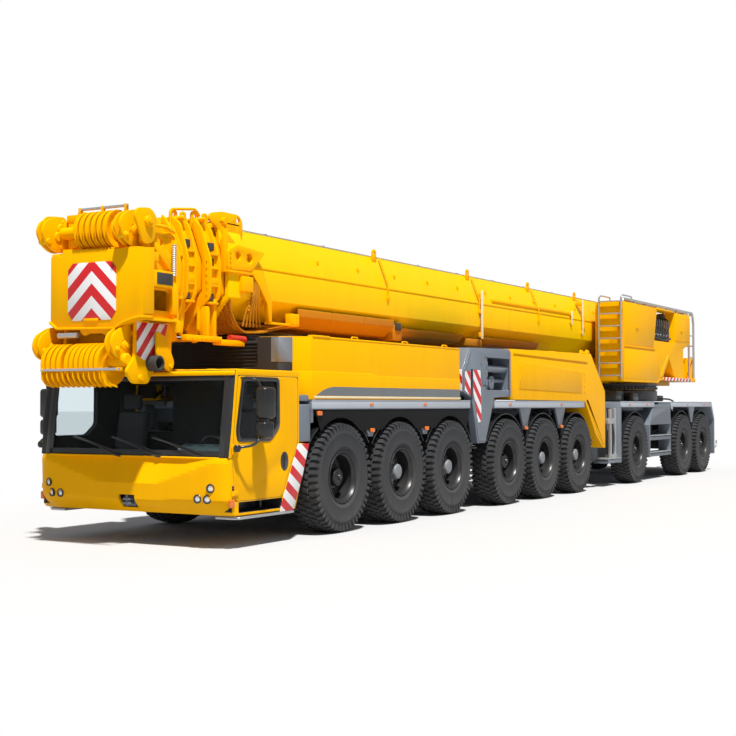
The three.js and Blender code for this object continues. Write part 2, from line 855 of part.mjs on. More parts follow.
// Machinery housings on both sides, the tail walkway with its rails, and the ladder on the left.
function housingGeometry() {
  const inner = cheekOuter + seat;
  const outer = housingHalfWidth;
  const outline = [
    [-11950, housingTop],
    [-11950, 2215],
    [-14400, 2215],
    [-14700, 2355],
    [-15230, 2830],
    [-15710, 2355],
    [-16440, 2355],
    [-16440, 3080],
    [-17000, 3230],
    [-17000, 3950],
    [-15700, 3930],
    [-15700, 3200],
    [-14100, 3200],
    [-14320, housingTop],
  ];
  const wall = 40;
  const railTop = housingTop + 40;
  const pieces = [];
  for (const side of [-1, 1]) {
    pieces.push(
      cut(
        sidePlate([...outline].reverse(), side * inner, side * outer),
        box(-14060, -11990, side * (inner + wall), side * (outer - wall), 2255, housingTop - wall),
        box(-14000, -12200, side * (inner - 20), side * (inner + wall + 20), 2700, 3700),
        box(-15650, -14200, side * (inner + wall), side * (outer - wall), 2900, 3260),
      ),
      box(tailRear, -14560, side * inner, side * outer, 2280, 2362),
    );
    // tail rails
    for (const x of [tailRear + 20, tailRear + 440])
      pieces.push(box(x - 20, x + 20, side * (outer - 60), side * (outer - 20), 2340, railTop));
    pieces.push(
      box(tailRear, tailRear + 460, side * (outer - 60), side * (outer - 20), railTop - 40, railTop),
    );
  }
  // tail beam behind the winch
  pieces.push(box(tailRear, tailRear + 60, -outer, outer, 2280, 2900));
  // ladder
  const ladderTop = housingTop + 100;
  const stiles = [outer - 540, outer - 40];
  for (const y of stiles) pieces.push(box(-11900, -11860, y - 20, y + 20, 2260, ladderTop));
  for (let z = 2320; z < ladderTop; z += 290)
    pieces.push(box(-11900, -11865, stiles[0] - 10, stiles[1] + 10, z, z + 30));
  for (const z of [2600, 3800])
    for (const y of stiles) pieces.push(box(-11960, -11870, y - 20, y + 20, z, z + 40));
  return join(...pieces);
}
add("machinery_housing", housingGeometry(), yellow);

// ---------- boom ----------
// Cross-section of the boom's outer box, [y, z], counter-clockwise.
const boomSection = [
  [boomFloorHalfWidth, boomBottom],
  [boomHalfWidth, boomLowerKnee],
  [boomHalfWidth, boomUpperKnee],
  [boomRoofHalfWidth, boomTop],
  [-boomRoofHalfWidth, boomTop],
  [-boomHalfWidth, boomUpperKnee],
  [-boomHalfWidth, boomLowerKnee],
  [-boomFloorHalfWidth, boomBottom],
];
const sectionOf = (stage, extra = 0) => inset(boomSection, stage * boomStep + extra);

// A section's tube, with its pads where it slides in the section around it.
function tube(stage) {
  const x0 = sectionRears[stage];
  const x1 = sectionFronts[stage];
  const body = crossPlate(sectionOf(stage), x0, x1);
  const hollow = crossPlate(sectionOf(stage, boomWall), x0 - 50, x1 + 50);
  if (stage === 0) return cut(body, hollow);
  const padSection = inset(boomSection, (stage - 1) * boomStep + boomWall + running);
  const pads = join(body, crossPlate(padSection, x0, x0 + slidePadLength));
  return cut(pads, hollow);
}

// A stiffening collar round a section's front end.
function collar(stage, x0, x1, proud) {
  return cut(
    crossPlate(sectionOf(stage, -proud), x0, x1),
    crossPlate(sectionOf(stage, boomWall), x0 - 50, x1 + 50),
  );
}

function boomBaseGeometry() {
  const foot = sidePlate(
    [
      [boomRear + 20, boomBottom + 12],
      [boomRear + 20, boomTop - 12],
      [-15700, 3990],
      [-16300, 3880],
      [-16660, 3650],
      [-16660, 3250],
      [-16350, 2960],
      [-15700, boomBottom + 12],
    ],
    -430,
    430,
  );
  const bearing = barY(260, boomPivotX, boomPivotZ, -520, 520, 20);
  const bore = boreY(boomPinRadius, boomPivotX, boomPivotZ, -700, 700);
  const lugs = [];
  for (const y of [-1, 1]) {
    // ears for the luffing cylinder's rod eye
    lugs.push(
      sidePlate(
        [
          [cylinderEyeX - 420, boomBottom + 8],
          [cylinderEyeX - 130, cylinderEyeZ - 90],
          [cylinderEyeX + 90, cylinderEyeZ - 90],
          [cylinderEyeX + 260, boomBottom + 8],
        ],
        y * (rodEyeHalfWidth + 10),
        y * (rodEyeHalfWidth + 70),
      ),
    );
    // lifting ears on the collar
    lugs.push(
      sidePlate(
        [[950, boomTop - 30], [950, boomTop + 200], [1090, boomTop + 200], [1200, boomTop - 30]],
        y * 380,
        y * 440,
      ),
    );
  }
  return cut(join(tube(0), foot, bearing, collar(0, 950, boomFront, 45), ...lugs), bore);
}
add("boom_base", boomBaseGeometry(), yellow);
add("boom_section_1", join(tube(1), collar(1, sectionFronts[1] - 160, sectionFronts[1] + 60, 65)), yellow);
add("boom_section_2", join(tube(2), collar(2, sectionFronts[2] - 120, sectionFronts[2] + 80, 80)), yellow);

// The innermost section carries the boom head: side plates, front plate and the two sets of sheaves.
function boomHeadGeometry() {
  const padSection = inset(boomSection, 2 * boomStep + boomWall + running);
  const sideOuter = headSideInner + headSideThickness;
  const pieces = [
    crossPlate(sectionOf(3), sectionRears[3], sectionFronts[3]),
    crossPlate(padSection, sectionRears[3], sectionRears[3] + slidePadLength),
    crossPlate(sectionOf(3, -60), 2460, 2560),
    box(2470, 2550, -640, 640, 2740, 3690),
    box(3180, 3230, -670, 670, 2720, 3560),
    box(2500, 3200, -600, 600, 2760, 2800),
    barY(upperSheaveRadius, upperSheaveX, upperSheaveZ, -560, 560, 20),
    barY(lowerSheaveRadius, lowerSheaveX, lowerSheaveZ, -680, 680, 20),
    barY(sheavePinRadius, upperSheaveX, upperSheaveZ, -900, 900, 12),
    barY(sheavePinRadius, lowerSheaveX, lowerSheaveZ, -930, 930, 12),
  ];
  for (const side of [-1, 1]) {
    pieces.push(
      sidePlate(
        [[2480, 2720], [3200, 2720], [3400, 2420], [3330, 2170], [2960, 2160], [2880, 2500], [2480, 2600]],
        side * sideOuter,
        side * (sideOuter + 60),
      ),
      sidePlate(
        [
          [2480, 2700],
          [3230, 2700],
          [3230, 3600],
          [3400, 3850],
          [3250, 4050],
          [2960, 4050],
          [2800, 3700],
          [2480, 3700],
        ],
        side * headSideInner,
        side * sideOuter,
      ),
      sidePlate(
        [[2880, 3700], [3250, 3560], [3420, 3800], [3180, 4010], [2960, 3980]],
        side * 820,
        side * 900,
      ),
      sidePlate(
        [[2900, 2600], [3200, 2560], [3420, 2400], [3340, 2180], [2960, 2180]],
        side * 850,
        side * 930,
      ),
    );
  }
  return cut(join(...pieces), crossPlate(sectionOf(3, boomWall), sectionRears[3] - 100, 2500));
}
add("boom_head", boomHeadGeometry(), yellow);

// ---------- luffing cylinder ----------
const cylinderAngle = Math.atan2(cylinderEyeZ - cylinderFootZ, cylinderEyeX - cylinderFootX);
const cylinderLength = Math.hypot(cylinderEyeZ - cylinderFootZ, cylinderEyeX - cylinderFootX);
const cylinder = new THREE.Group();
cylinder.position.set(cylinderFootX, 0, cylinderFootZ);
cylinder.rotation.y = -cylinderAngle;
fromFrontAxle.add(cylinder);
const barrelLength = cylinderLength - 420;
const barrel = new THREE.Mesh(
  cut(
    join(
      barX(cylinderRadius, 0, 0, 200, barrelLength, 16),
      barY(150, 0, 0, -240, 240, 16),
      box(0, 300, -150, 150, -140, 140),
    ),
    boreX(rodRadius, 0, 0, 400, barrelLength + 50),
    boreY(cylinderPinRadius, 0, 0, -400, 400, 12),
  ),
  yellow,
);
barrel.name = "luffing_barrel";
cylinder.add(barrel);
const rod = new THREE.Mesh(
  cut(
    join(
      barX(rodRadius, 0, 0, 420, cylinderLength - 100, 16),
      barY(rodEyeRadius, cylinderLength, 0, -rodEyeHalfWidth, rodEyeHalfWidth, 16),
      box(cylinderLength - 200, cylinderLength, -rodEyeHalfWidth, rodEyeHalfWidth, -115, 115),
    ),
    barY(70, cylinderLength, 0, -400, 400, 12),
  ),
  chrome,
);
rod.name = "luffing_rod";
cylinder.add(rod);

export default crane;
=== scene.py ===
import math
import bpy
from mathutils import Matrix, Vector


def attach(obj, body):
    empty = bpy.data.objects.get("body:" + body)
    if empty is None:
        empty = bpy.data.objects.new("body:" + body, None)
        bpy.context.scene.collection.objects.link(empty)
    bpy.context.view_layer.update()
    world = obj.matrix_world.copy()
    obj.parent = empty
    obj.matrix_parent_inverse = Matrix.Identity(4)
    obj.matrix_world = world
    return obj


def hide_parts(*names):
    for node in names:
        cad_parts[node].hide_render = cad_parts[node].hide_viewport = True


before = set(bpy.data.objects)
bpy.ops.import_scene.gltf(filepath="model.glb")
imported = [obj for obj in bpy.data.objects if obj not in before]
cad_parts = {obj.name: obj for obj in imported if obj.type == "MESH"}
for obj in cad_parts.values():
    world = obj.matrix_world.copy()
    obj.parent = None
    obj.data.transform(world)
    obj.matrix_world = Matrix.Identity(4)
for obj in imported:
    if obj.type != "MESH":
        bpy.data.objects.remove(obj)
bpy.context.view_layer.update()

# ---- Camera, floor and light ----
# The crane stands on a pale floor in a white studio, seen from low at its front left corner.
# One large soft lamp stands high at the driver's side, and the white room fills the shadows.
scene = bpy.context.scene
scene.view_settings.view_transform = "Standard"

front_axle = 8.08

camera = bpy.data.objects.new("camera", bpy.data.cameras.new("camera"))
scene.collection.objects.link(camera)
camera.location = (front_axle + 14.56, 10.36, 1.72)
camera.rotation_euler = (math.radians(91.64), 0, math.radians(120.12))
camera.data.lens = 61.9
camera.data.clip_end = 400
scene.camera = camera


def node_material(name):
    """A new material, its node tree and its Principled shader."""
    material = bpy.data.materials.new(name)
    material.use_nodes = True
    tree = material.node_tree
    return material, tree, tree.nodes["Principled BSDF"]


def give(node, *feeds, **settings):
    """Feeds a node: inputs in order, then properties and inputs by name, each a value or a link."""
    given = dict(enumerate(feeds))
    for key, value in settings.items():
        if hasattr(node, key):
            setattr(node, key, value)
        else:
            given[key.replace("_", " ")] = value
    for key, value in given.items():
        if isinstance(value, bpy.types.Node):
            value = value.outputs[0]
        if isinstance(value, bpy.types.NodeSocket):
            node.id_data.links.new(value, node.inputs[key])
        else:
            node.inputs[key].default_value = value
    return node


def put(tree, kind, *feeds, **settings):
    """Adds a node to a tree and feeds it."""
    return give(tree.nodes.new("ShaderNode" + kind), *feeds, **settings)


world = bpy.data.worlds.new("white_room")
world.use_nodes = True
scene.world = world
room = world.node_tree
room_light = give(room.nodes["Background"], Color=(0.93, 0.96, 1.0, 1), Strength=0.31)
seen_white = put(room, "Background", Color=(1, 1, 1, 1), Strength=1.0)
rays = put(room, "LightPath").outputs
either = put(room, "Math", rays["Is Camera Ray"], rays["Is Transmission Ray"], operation="MAXIMUM")
give(room.nodes["World Output"], put(room, "MixShader", either, room_light, seen_white))

sun = bpy.data.objects.new("high_lamp", bpy.data.lights.new("high_lamp", "SUN"))
scene.collection.objects.link(sun)
sun.data.energy = 5.3
sun.data.angle = math.radians(3)
sun.data.color = (1.0, 0.97, 0.92)
sun.rotation_euler = Vector((0.34, 0.36, 1.0)).to_track_quat("Z", "Y").to_euler()

# The floor fades to plain white away from the crane, and throws less light up than it shows.
bpy.ops.object.select_all(action="DESELECT")
bpy.ops.mesh.primitive_plane_add(size=400, location=(0, 0, -0.002))
floor = bpy.context.object
floor.name = "floor"
floor_paint, tree, shader = node_material("pale_floor")
camera_ray = put(tree, "LightPath").outputs["Is Camera Ray"]
floor_colour = put(tree, "Mix", camera_ray, data_type="RGBA", A=(0.43, 0.44, 0.46, 1),
    B=(0.57, 0.58, 0.6, 1))
give(shader, Base_Color=floor_colour.outputs["Result"], Roughness=0.85)
fade_reach = (1 / 15.5, 1 / 6.5, 0)
squash = put(tree, "VectorMath", put(tree, "TexCoord").outputs["Object"], fade_reach, operation="MULTIPLY")
distance = put(tree, "VectorMath", squash, operation="LENGTH").outputs["Value"]
fade = put(tree, "MapRange", distance, 0.8, 1.25, interpolation_type="SMOOTHSTEP")
only_seen = put(tree, "Math", fade, camera_ray, operation="MULTIPLY")
white = put(tree, "Emission", Color=(1, 1, 1, 1), Strength=1.0)
give(tree.nodes["Material Output"], put(tree, "MixShader", only_seen, shader, white))
floor.data.materials.append(floor_paint)

# ---- Tyres ----
# Eighteen wide single tyres in black rubber with a block tread: rows of lugs across the crown and
# shoulder lugs that wrap onto the sidewall. Each is one moulding, pressed onto its rim by air.
axle_gaps = (1.65, 1.65, 2.2, 1.65, 1.7, 3.6, 3.55, 1.7)
axle_places = [0.0]
for gap in axle_gaps:
    axle_places.append(axle_places[-1] - gap)
wheel_radius = 0.74
wheel_y = 1.3275
sides = {"left": 1, "right": -1}


def deselect():
    """Leaves edit mode and selects nothing."""
    if bpy.context.object and bpy.context.object.mode != "OBJECT":
        bpy.ops.object.mode_set(mode="OBJECT")
    bpy.ops.object.select_all(action="DESELECT")


def focus(obj, mode="OBJECT"):
    """Makes an object the only selected one, and opens its whole mesh when it is to be edited."""
    deselect()
    obj.select_set(True)
    bpy.context.view_layer.objects.active = obj
    bpy.ops.object.mode_set(mode=mode)
    if mode == "EDIT":
        bpy.ops.mesh.select_all(action="SELECT")
    return obj


def copied(obj):
    """A copy of an object with its own mesh."""
    focus(obj)
    bpy.ops.object.duplicate()
    return bpy.context.object


def trace(name, points, closed=False):
    """A wire through the points, drawn by extruding one vertex from point to point."""
    deselect()
    bpy.ops.mesh.primitive_plane_add(size=0.001, location=points[0])
    wire = bpy.context.object
    wire.name = name
    bpy.ops.object.transform_apply(location=True, rotation=True, scale=True)
    bpy.ops.object.mode_set(mode="EDIT")
    bpy.ops.mesh.select_all(action="SELECT")
    bpy.ops.mesh.merge(type="CENTER")
    for start, end in zip(points, points[1:]):
        step = Vector(end) - Vector(start)
        bpy.ops.mesh.extrude_region_move(TRANSFORM_OT_translate={"value": step})
    if closed:
        bpy.ops.mesh.select_all(action="SELECT")
        bpy.ops.mesh.edge_face_add()
    bpy.ops.object.mode_set(mode="OBJECT")
    return wire


def apply(obj, kind, **settings):
    """Adds one modifier with its settings and applies it."""
    focus(obj)
    modifier = obj.modifiers.new(kind.lower(), kind)
    for key, value in settings.items():
        setattr(modifier, key, value)
    bpy.ops.object.modifier_apply(modifier=modifier.name)
    return obj


def soften(obj, width, segments=2, angle=28):
    """Rounds the sharp edges by a small radius and smooths what is nearly flat."""
    apply(obj, "BEVEL", width=width, segments=segments, limit_method="ANGLE",
        angle_limit=math.radians(angle), use_clamp_overlap=True, harden_normals=False)
    bpy.ops.object.shade_smooth_by_angle(angle=math.radians(40))
    return obj


def face_out(obj):
    """Joins corners that coincide and turns every face outwards."""
    focus(obj, "EDIT")
    bpy.ops.mesh.remove_doubles(threshold=0.0002)
    bpy.ops.mesh.normals_make_consistent(inside=False)
    bpy.ops.object.mode_set(mode="OBJECT")
    return obj


def turned(name, profile, centre, axis="Y", steps=48, width=0.0):
    """A closed profile of (radius, along) points spun round an axis through centre."""
    if axis == "Y":
        points = [(centre[0] + r, centre[1] + a, centre[2]) for r, a in profile]
        direction = (0, 1, 0)
    elif axis == "X":
        points = [(centre[0] + a, centre[1], centre[2] + r) for r, a in profile]
        direction = (1, 0, 0)
    else:
        points = [(centre[0] + r, centre[1], centre[2] + a) for r, a in profile]
        direction = (0, 0, 1)
    solid = trace(name, points)
    focus(solid, "EDIT")
    bpy.ops.mesh.spin(steps=steps, angle=2 * math.pi, center=centre, axis=direction)
    bpy.ops.object.mode_set(mode="OBJECT")
    face_out(solid)
    if width:
        soften(solid, width)
    else:
        bpy.ops.object.shade_smooth_by_angle(angle=math.radians(35))
    return solid


def join_up(*objects):
    """Several objects as one mesh, the first of them."""
    deselect()
    for obj in objects:
        obj.select_set(True)
    bpy.context.view_layer.objects.active = objects[0]
    if len(objects) > 1:
        bpy.ops.object.join()
    return objects[0]


def settle(obj, name, body, slot, *materials, replaces=()):
    """A finished piece: painted, named, moved from the axle's zero to its place, riding on its body."""
    focus(obj)
    bpy.ops.object.transform_apply(location=True, rotation=True, scale=True)
    obj.data.transform(Matrix.Translation((front_axle, 0, 0)))
    obj.name = name
    obj.data.name = name
    if materials:
        obj.data.materials.clear()
        for material in materials:
            obj.data.materials.append(material)
    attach(obj, body)
    if replaces:
        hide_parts(*replaces)
    return obj


def block(low, high, width=0.0, segments=2):
    """A box between two corners with rounded edges, the start of cast and folded pieces."""
    deselect()
    size = [h - l for l, h in zip(low, high)]
    middle = [(h + l) / 2 for l, h in zip(low, high)]
    bpy.ops.mesh.primitive_cube_add(size=1, location=middle, scale=size)
    box = bpy.context.object
    bpy.ops.object.transform_apply(location=True, rotation=True, scale=True)
    if width:
        soften(box, width, segments)
    return box


# Dust lies low on the crane and in broad soft patches and streaks, over any base colour.
dust = bpy.data.node_groups.new("dust", "ShaderNodeTree")
for label, kind, value in (("Colour", "Color", (0.5, 0.5, 0.5, 1)),
        ("Dust Colour", "Color", (0.3, 0.27, 0.23, 1)), ("Amount", "Float", 0.3),
        ("Roughness", "Float", 0.4), ("Grain", "Float", 60.0), ("Relief", "Float", 0.02)):
    dust.interface.new_socket(label, in_out="INPUT", socket_type="NodeSocket" + kind).default_value = value
for label, kind in (("Colour", "Color"), ("Roughness", "Float"), ("Normal", "Vector")):
    dust.interface.new_socket(label, in_out="OUTPUT", socket_type="NodeSocket" + kind)
asked = dust.nodes.new("NodeGroupInput").outputs
where = put(dust, "TexCoord").outputs["Object"]
height = put(dust, "SeparateXYZ", where).outputs["Z"]
low_down = put(dust, "MapRange", height, 1.5, 0.15, interpolation_type="SMOOTHSTEP")
patches = put(dust, "TexNoise", Vector=where, Scale=1.3, Detail=5.0, Roughness=0.6)
streaks = put(dust, "TexNoise", Vector=put(dust, "Mapping", where, Scale=(5, 5, 0.7)), Scale=1.0,
    Detail=4.0)
share = put(dust, "Math", low_down, 0.75, 0.16, operation="MULTIPLY_ADD")
patchy = put(dust, "Math", patches, streaks, operation="MULTIPLY")
weight = put(dust, "Math", patchy, 2.6, operation="MULTIPLY")
mask = put(dust, "Math", weight, share, operation="MULTIPLY", use_clamp=True)
grimy = put(dust, "Math", asked["Amount"], mask, operation="MULTIPLY", use_clamp=True)
tone = put(dust, "MapRange", streaks, To_Min=0.93, To_Max=1.06)
shade = put(dust, "HueSaturation", Value=tone, Color=asked["Colour"])
cover = put(dust, "Mix", grimy, data_type="RGBA", A=shade, B=asked["Dust Colour"])
rough = put(dust, "Math", grimy, 0.5, asked["Roughness"], operation="MULTIPLY_ADD", use_clamp=True)
fine = put(dust, "TexNoise", Vector=where, Scale=asked["Grain"], Detail=2.0)
depth = put(dust, "Math", fine, asked["Relief"], operation="MULTIPLY")
bump = put(dust, "Bump", Strength=0.6, Height=depth)
give(dust.nodes.new("NodeGroupOutput"), cover.outputs["Result"], rough, bump)


def under_dust(shader, **values):
    """Puts a finish under the crane's dust and gives the result to its shader."""
    result = put(shader.id_data, "Group", node_tree=dust, **values).outputs
    return give(shader, Base_Color=result["Colour"], Roughness=result["Roughness"], Normal=result["Normal"])


def dusted(name, colour, roughness, amount=0.25, grain=60.0, relief=0.001, metallic=0.0, coat=0.0,
        dust_colour=(0.3, 0.27, 0.23), specular=0.5):
    """A finish of one colour under the crane's dust."""
    material, tree, shader = node_material(name)
    under_dust(shader, Colour=(*colour, 1), Dust_Colour=(*dust_colour, 1), Amount=amount,
        Roughness=roughness, Grain=grain, Relief=relief)
    give(shader, Metallic=metallic, Coat_Weight=coat, Coat_Roughness=0.12, Specular_IOR_Level=specular)
    return material


rubber = dusted("tyre_rubber", (0.034, 0.036, 0.041), 0.78, amount=0.55, grain=90, relief=0.0015,
    dust_colour=(0.115, 0.112, 0.108), specular=0.3)

# Carcass: bead, bulging sidewall with two moulded rings, shoulder and crown.
carcass_top = wheel_radius - 0.026
carcass_profile = [
    (0.335, -0.15), (0.35, -0.186), (0.372, -0.2), (0.4, -0.208), (0.41, -0.214), (0.424, -0.214),
    (0.434, -0.211), (0.52, -0.2205), (0.575, -0.218), (0.585, -0.2215), (0.6, -0.2205),
    (0.64, -0.206), (0.672, -0.19), (0.692, -0.172), (0.704, -0.14), (0.711, -0.08), (carcass_top, 0.0),
]
carcass_profile += [(r, -a) for r, a in reversed(carcass_profile[:-1])]
carcass_profile.append(carcass_profile[0])
hub_height = wheel_radius
tyre_start = (0.0, 0.0, hub_height)
carcass = turned("carcass", carcass_profile, tyre_start, steps=72)

# One pitch of the tread: two crown lugs, staggered, and a long shoulder lug on each edge.
pitches = 48
pitch_angle = 2 * math.pi / pitches


def turn_about(centre, angle, axis):
    """A turn about an axis through a point."""
    back = Matrix.Translation([-c for c in centre])
    return Matrix.Translation(centre) @ Matrix.Rotation(angle, 4, axis) @ back


def tread_lug(y0, y1, start, length, inner, outer, lean=0.0, drop=0.0):
    """A lug on the crown between two widths, tapered towards its top."""
    lug = block((-length / 2, y0, inner), (length / 2, y1, outer))
    middle = (y0 + y1) / 2
    for vertex in lug.data.vertices:
        if vertex.co.z > (inner + outer) / 2:
            vertex.co.x *= 0.86
            vertex.co.y = middle + (vertex.co.y - middle) * 0.9
        vertex.co.x += lean * (vertex.co.y - middle)
        if abs(vertex.co.y) > 0.15:
            vertex.co.z -= drop
    lug.data.transform(Matrix.Rotation(start, 4, "Y"))
    lug.data.transform(Matrix.Translation(tyre_start))
    return lug


lug_top = wheel_radius - 0.003
lugs = [
    tread_lug(0.012, 0.098, 0.0, 0.061, 0.69, lug_top, 0.35),
    tread_lug(-0.098, -0.012, pitch_angle / 2, 0.061, 0.69, lug_top, 0.35),
    tread_lug(0.112, 0.2, pitch_angle / 2, 0.057, 0.665, lug_top - 0.006, -0.1, 0.014),
    tread_lug(-0.2, -0.112, 0.0, 0.057, 0.665, lug_top - 0.006, -0.1, 0.014),
    tread_lug(0.19, 0.214, pitch_angle / 2, 0.044, 0.635, 0.712, 0.0, 0.0),
    tread_lug(-0.214, -0.19, 0.0, 0.044, 0.635, 0.712, 0.0, 0.0),
]
pitch = join_up(*lugs)
bpy.context.scene.cursor.location = (0, 0, 0)
deselect()
bpy.ops.object.empty_add(location=(0, 0, 0))
step = bpy.context.object
step.matrix_world = turn_about(tyre_start, pitch_angle, "Y")
bpy.context.view_layer.update()
apply(pitch, "ARRAY", count=pitches, use_relative_offset=False, use_object_offset=True, offset_object=step)
bpy.data.objects.remove(step)
tyre_model = join_up(carcass, pitch)
bpy.ops.object.shade_smooth_by_angle(angle=math.radians(30))

# ---- Rims and hubs ----
# Black painted steel rims with a deep dished disc and a ring of wheel nuts. The driven
# wheels show the bolted planetary hub; the steered ones between them carry a round grey hub cap.
rim_black = dusted("rim_black", (0.012, 0.013, 0.016), 0.34, amount=0.08, grain=40, relief=0.0006)
hub_grey = dusted("hub_grey", (0.2, 0.22, 0.245), 0.45, amount=0.25, grain=40, relief=0.0006)
nut_steel = dusted("nut_steel", (0.3, 0.3, 0.3), 0.35, amount=0.3, metallic=0.85, grain=30, relief=0.0004)
capped = (2, 3, 5, 6)

rim_profile = [
    (0.352, 0.196), (0.346, 0.203), (0.336, 0.201), (0.329, 0.186), (0.322, 0.172), (0.3, 0.15),
    (0.297, 0.06), (0.296, -0.02), (0.262, -0.034), (0.24, -0.04), (0.205, -0.036), (0.186, -0.01),
    (0.17, 0.004), (0.118, 0.004), (0.118, -0.016), (0.165, -0.016), (0.182, -0.034), (0.21, -0.06),
    (0.3, -0.056), (0.306, 0.05), (0.312, 0.15), (0.336, 0.178), (0.352, 0.196),
]
inner_rim_profile = [
    (0.308, -0.052), (0.3, -0.054), (0.3, -0.16), (0.334, -0.186), (0.346, -0.203), (0.352, -0.196),
    (0.338, -0.176), (0.312, -0.15), (0.308, -0.052),
]
rim_front = turned("rim_front", rim_profile, tyre_start, steps=48)
rim_back = turned("rim_back", inner_rim_profile, tyre_start, steps=48)


def ring_of(model, count, centre, axis):
    """Copies of one small part set evenly round an axis, joined into one mesh."""
    parts = [model]
    for i in range(1, count):
        copy = copied(model)
        copy.data.transform(turn_about(centre, 2 * math.pi * i / count, axis))
        parts.append(copy)
    return join_up(*parts)


def nut(radius, out, size=0.017, high=0.022):
    """A hexagon nut on its stud."""
    parts = []
    for sides, wide, tall, lift in ((6, size, high, 0.5 * high), (8, 0.45 * size, 0.8 * high, 1.1 * high)):
        deselect()
        bpy.ops.mesh.primitive_cylinder_add(vertices=sides, radius=wide, depth=tall,
            location=(radius, out + lift, hub_height), rotation=(math.pi / 2, 0, 0))
        bpy.ops.object.transform_apply(location=True, rotation=True, scale=True)
        parts.append(bpy.context.object)
    return join_up(*parts)


wheel_nuts = ring_of(nut(0.1675, 0.004), 10, tyre_start, "Y")
rim_model = join_up(rim_front, rim_back)
bpy.ops.object.shade_smooth_by_angle(angle=math.radians(35))

planetary_profile = [
    (0.0, 0.165), (0.036, 0.165), (0.04, 0.158), (0.046, 0.14), (0.104, 0.13), (0.116, 0.12),
    (0.122, 0.1), (0.124, 0.04), (0.146, 0.034), (0.15, 0.026), (0.15, 0.005), (0.116, 0.005),
    (0.112, -0.03), (0.0, -0.03),
]
cap_profile = [
    (0.0, 0.15), (0.086, 0.15), (0.098, 0.146), (0.106, 0.138), (0.11, 0.124), (0.112, 0.03), (0.15, 0.022),
    (0.15, 0.005), (0.114, 0.005), (0.112, -0.03), (0.0, -0.03),
]
planetary_hub = turned("planetary_hub", planetary_profile, tyre_start, steps=40)
hub_bolts = ring_of(nut(0.084, 0.132, 0.01, 0.01), 8, tyre_start, "Y")
planetary_hub = join_up(planetary_hub, hub_bolts)
cap_hub = turned("cap_hub", cap_profile, tyre_start, steps=40)


def copy_to(model, matrix, mirror=False):
    """A copy of a model with its own mesh, placed by a matrix, and mirrored side to side."""
    copy = copied(model)
    if mirror:
        matrix = matrix @ Matrix.Scale(-1, 4, (0, 1, 0))
    copy.data.transform(matrix)
    if mirror:
        copy.data.flip_normals()
    return copy


# Each wheel gets copies of these models, turned a little so that no two look alike.
for side, sign in sides.items():
    for number, x in enumerate(axle_places, 1):
        label = f"{number}_{side}"
        body = f"wheel_{label}"
        phase = turn_about(tyre_start, 0.37 * number + sign, "Y")
        place_wheel = Matrix.Translation((x, sign * wheel_y, 0)) @ phase
        mirror = sign < 0
        tyre = copy_to(tyre_model, place_wheel, mirror)
        settle(tyre, f"tyre_{label}", body, "tyre", rubber, replaces=[body])
        rim = copy_to(rim_model, place_wheel, mirror)
        settle(rim, f"rim_{label}", body, "tyre", rim_black)
        hub_model = cap_hub if number in capped else planetary_hub
        hub = copy_to(hub_model, place_wheel, mirror)
        settle(hub, f"hub_{label}", body, "grey_paint" if number in capped else "dark_steel",
            hub_grey if number in capped else rim_black)
        nuts = copy_to(wheel_nuts, place_wheel, mirror)
        settle(nuts, f"wheel_nuts_{label}", body, "dark_steel",
            nut_steel if number in capped else rim_black)
for model in (tyre_model, rim_model, planetary_hub, cap_hub, wheel_nuts):
    bpy.data.objects.remove(model)

# ---- Axles and steering knuckles ----
# Forged and welded axle beams in dark chassis paint, held by their suspension struts. The knuckles
# turn on kingpins at the beams' ends and carry the wheel spindles and ribbed brake drums.
chassis_black = dusted("chassis_black", (0.03, 0.031, 0.034), 0.6, amount=0.5, grain=45, relief=0.0015)


def copy_of(node, width=0.008, segments=2, angle=28):
    """A copy of a solid of the frame with merged corners, flat faces whole and edges rounded."""
    deselect()
    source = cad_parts[node]
    twin = bpy.data.objects.new(node + "_looks", source.data.copy())
    bpy.context.scene.collection.objects.link(twin)
    twin.data.materials.clear()
    twin.data.transform(Matrix.Translation((-front_axle, 0, 0)))
    focus(twin, "EDIT")
    bpy.ops.mesh.remove_doubles(threshold=0.0002)
    bpy.ops.mesh.dissolve_limited(angle_limit=math.radians(1.0))
    bpy.ops.object.mode_set(mode="OBJECT")
    if width:
        soften(twin, width, segments, angle)
    return twin


def dress(node, rounding, name, body, slot, *materials):
    """A solid of the frame with rounded edges and its finish, shown in place of the plain one."""
    return settle(copy_of(node, *rounding), name, body, slot, *materials, replaces=[node])


dress("axles", (0.012,), "axle_beams", "carrier", "dark_steel", chassis_black)
drum_profile = [(0.1, -0.165), (0.225, -0.165), (0.24, -0.155), (0.24, -0.135), (0.262, -0.13),
    (0.262, -0.115), (0.246, -0.11), (0.246, -0.095), (0.262, -0.09), (0.262, -0.075), (0.246, -0.07),
    (0.246, -0.06), (0.1, -0.06)]
drum_model = turned("brake_drum", drum_profile + [drum_profile[0]], tyre_start, steps=40)
for side, sign in sides.items():
    for number, x in enumerate(axle_places, 1):
        name = f"knuckle_{number}_{side}"
        dress(name, (0.006,), f"kingpin_fork_{number}_{side}", name, "dark_steel", chassis_black)
        place_drum = Matrix.Translation((x, sign * wheel_y, 0))
        drum = copy_to(drum_model, place_drum, sign < 0)
        settle(drum, f"brake_drum_{number}_{side}", f"wheel_{number}_{side}", "dark_steel", chassis_black)
bpy.data.objects.remove(drum_model)

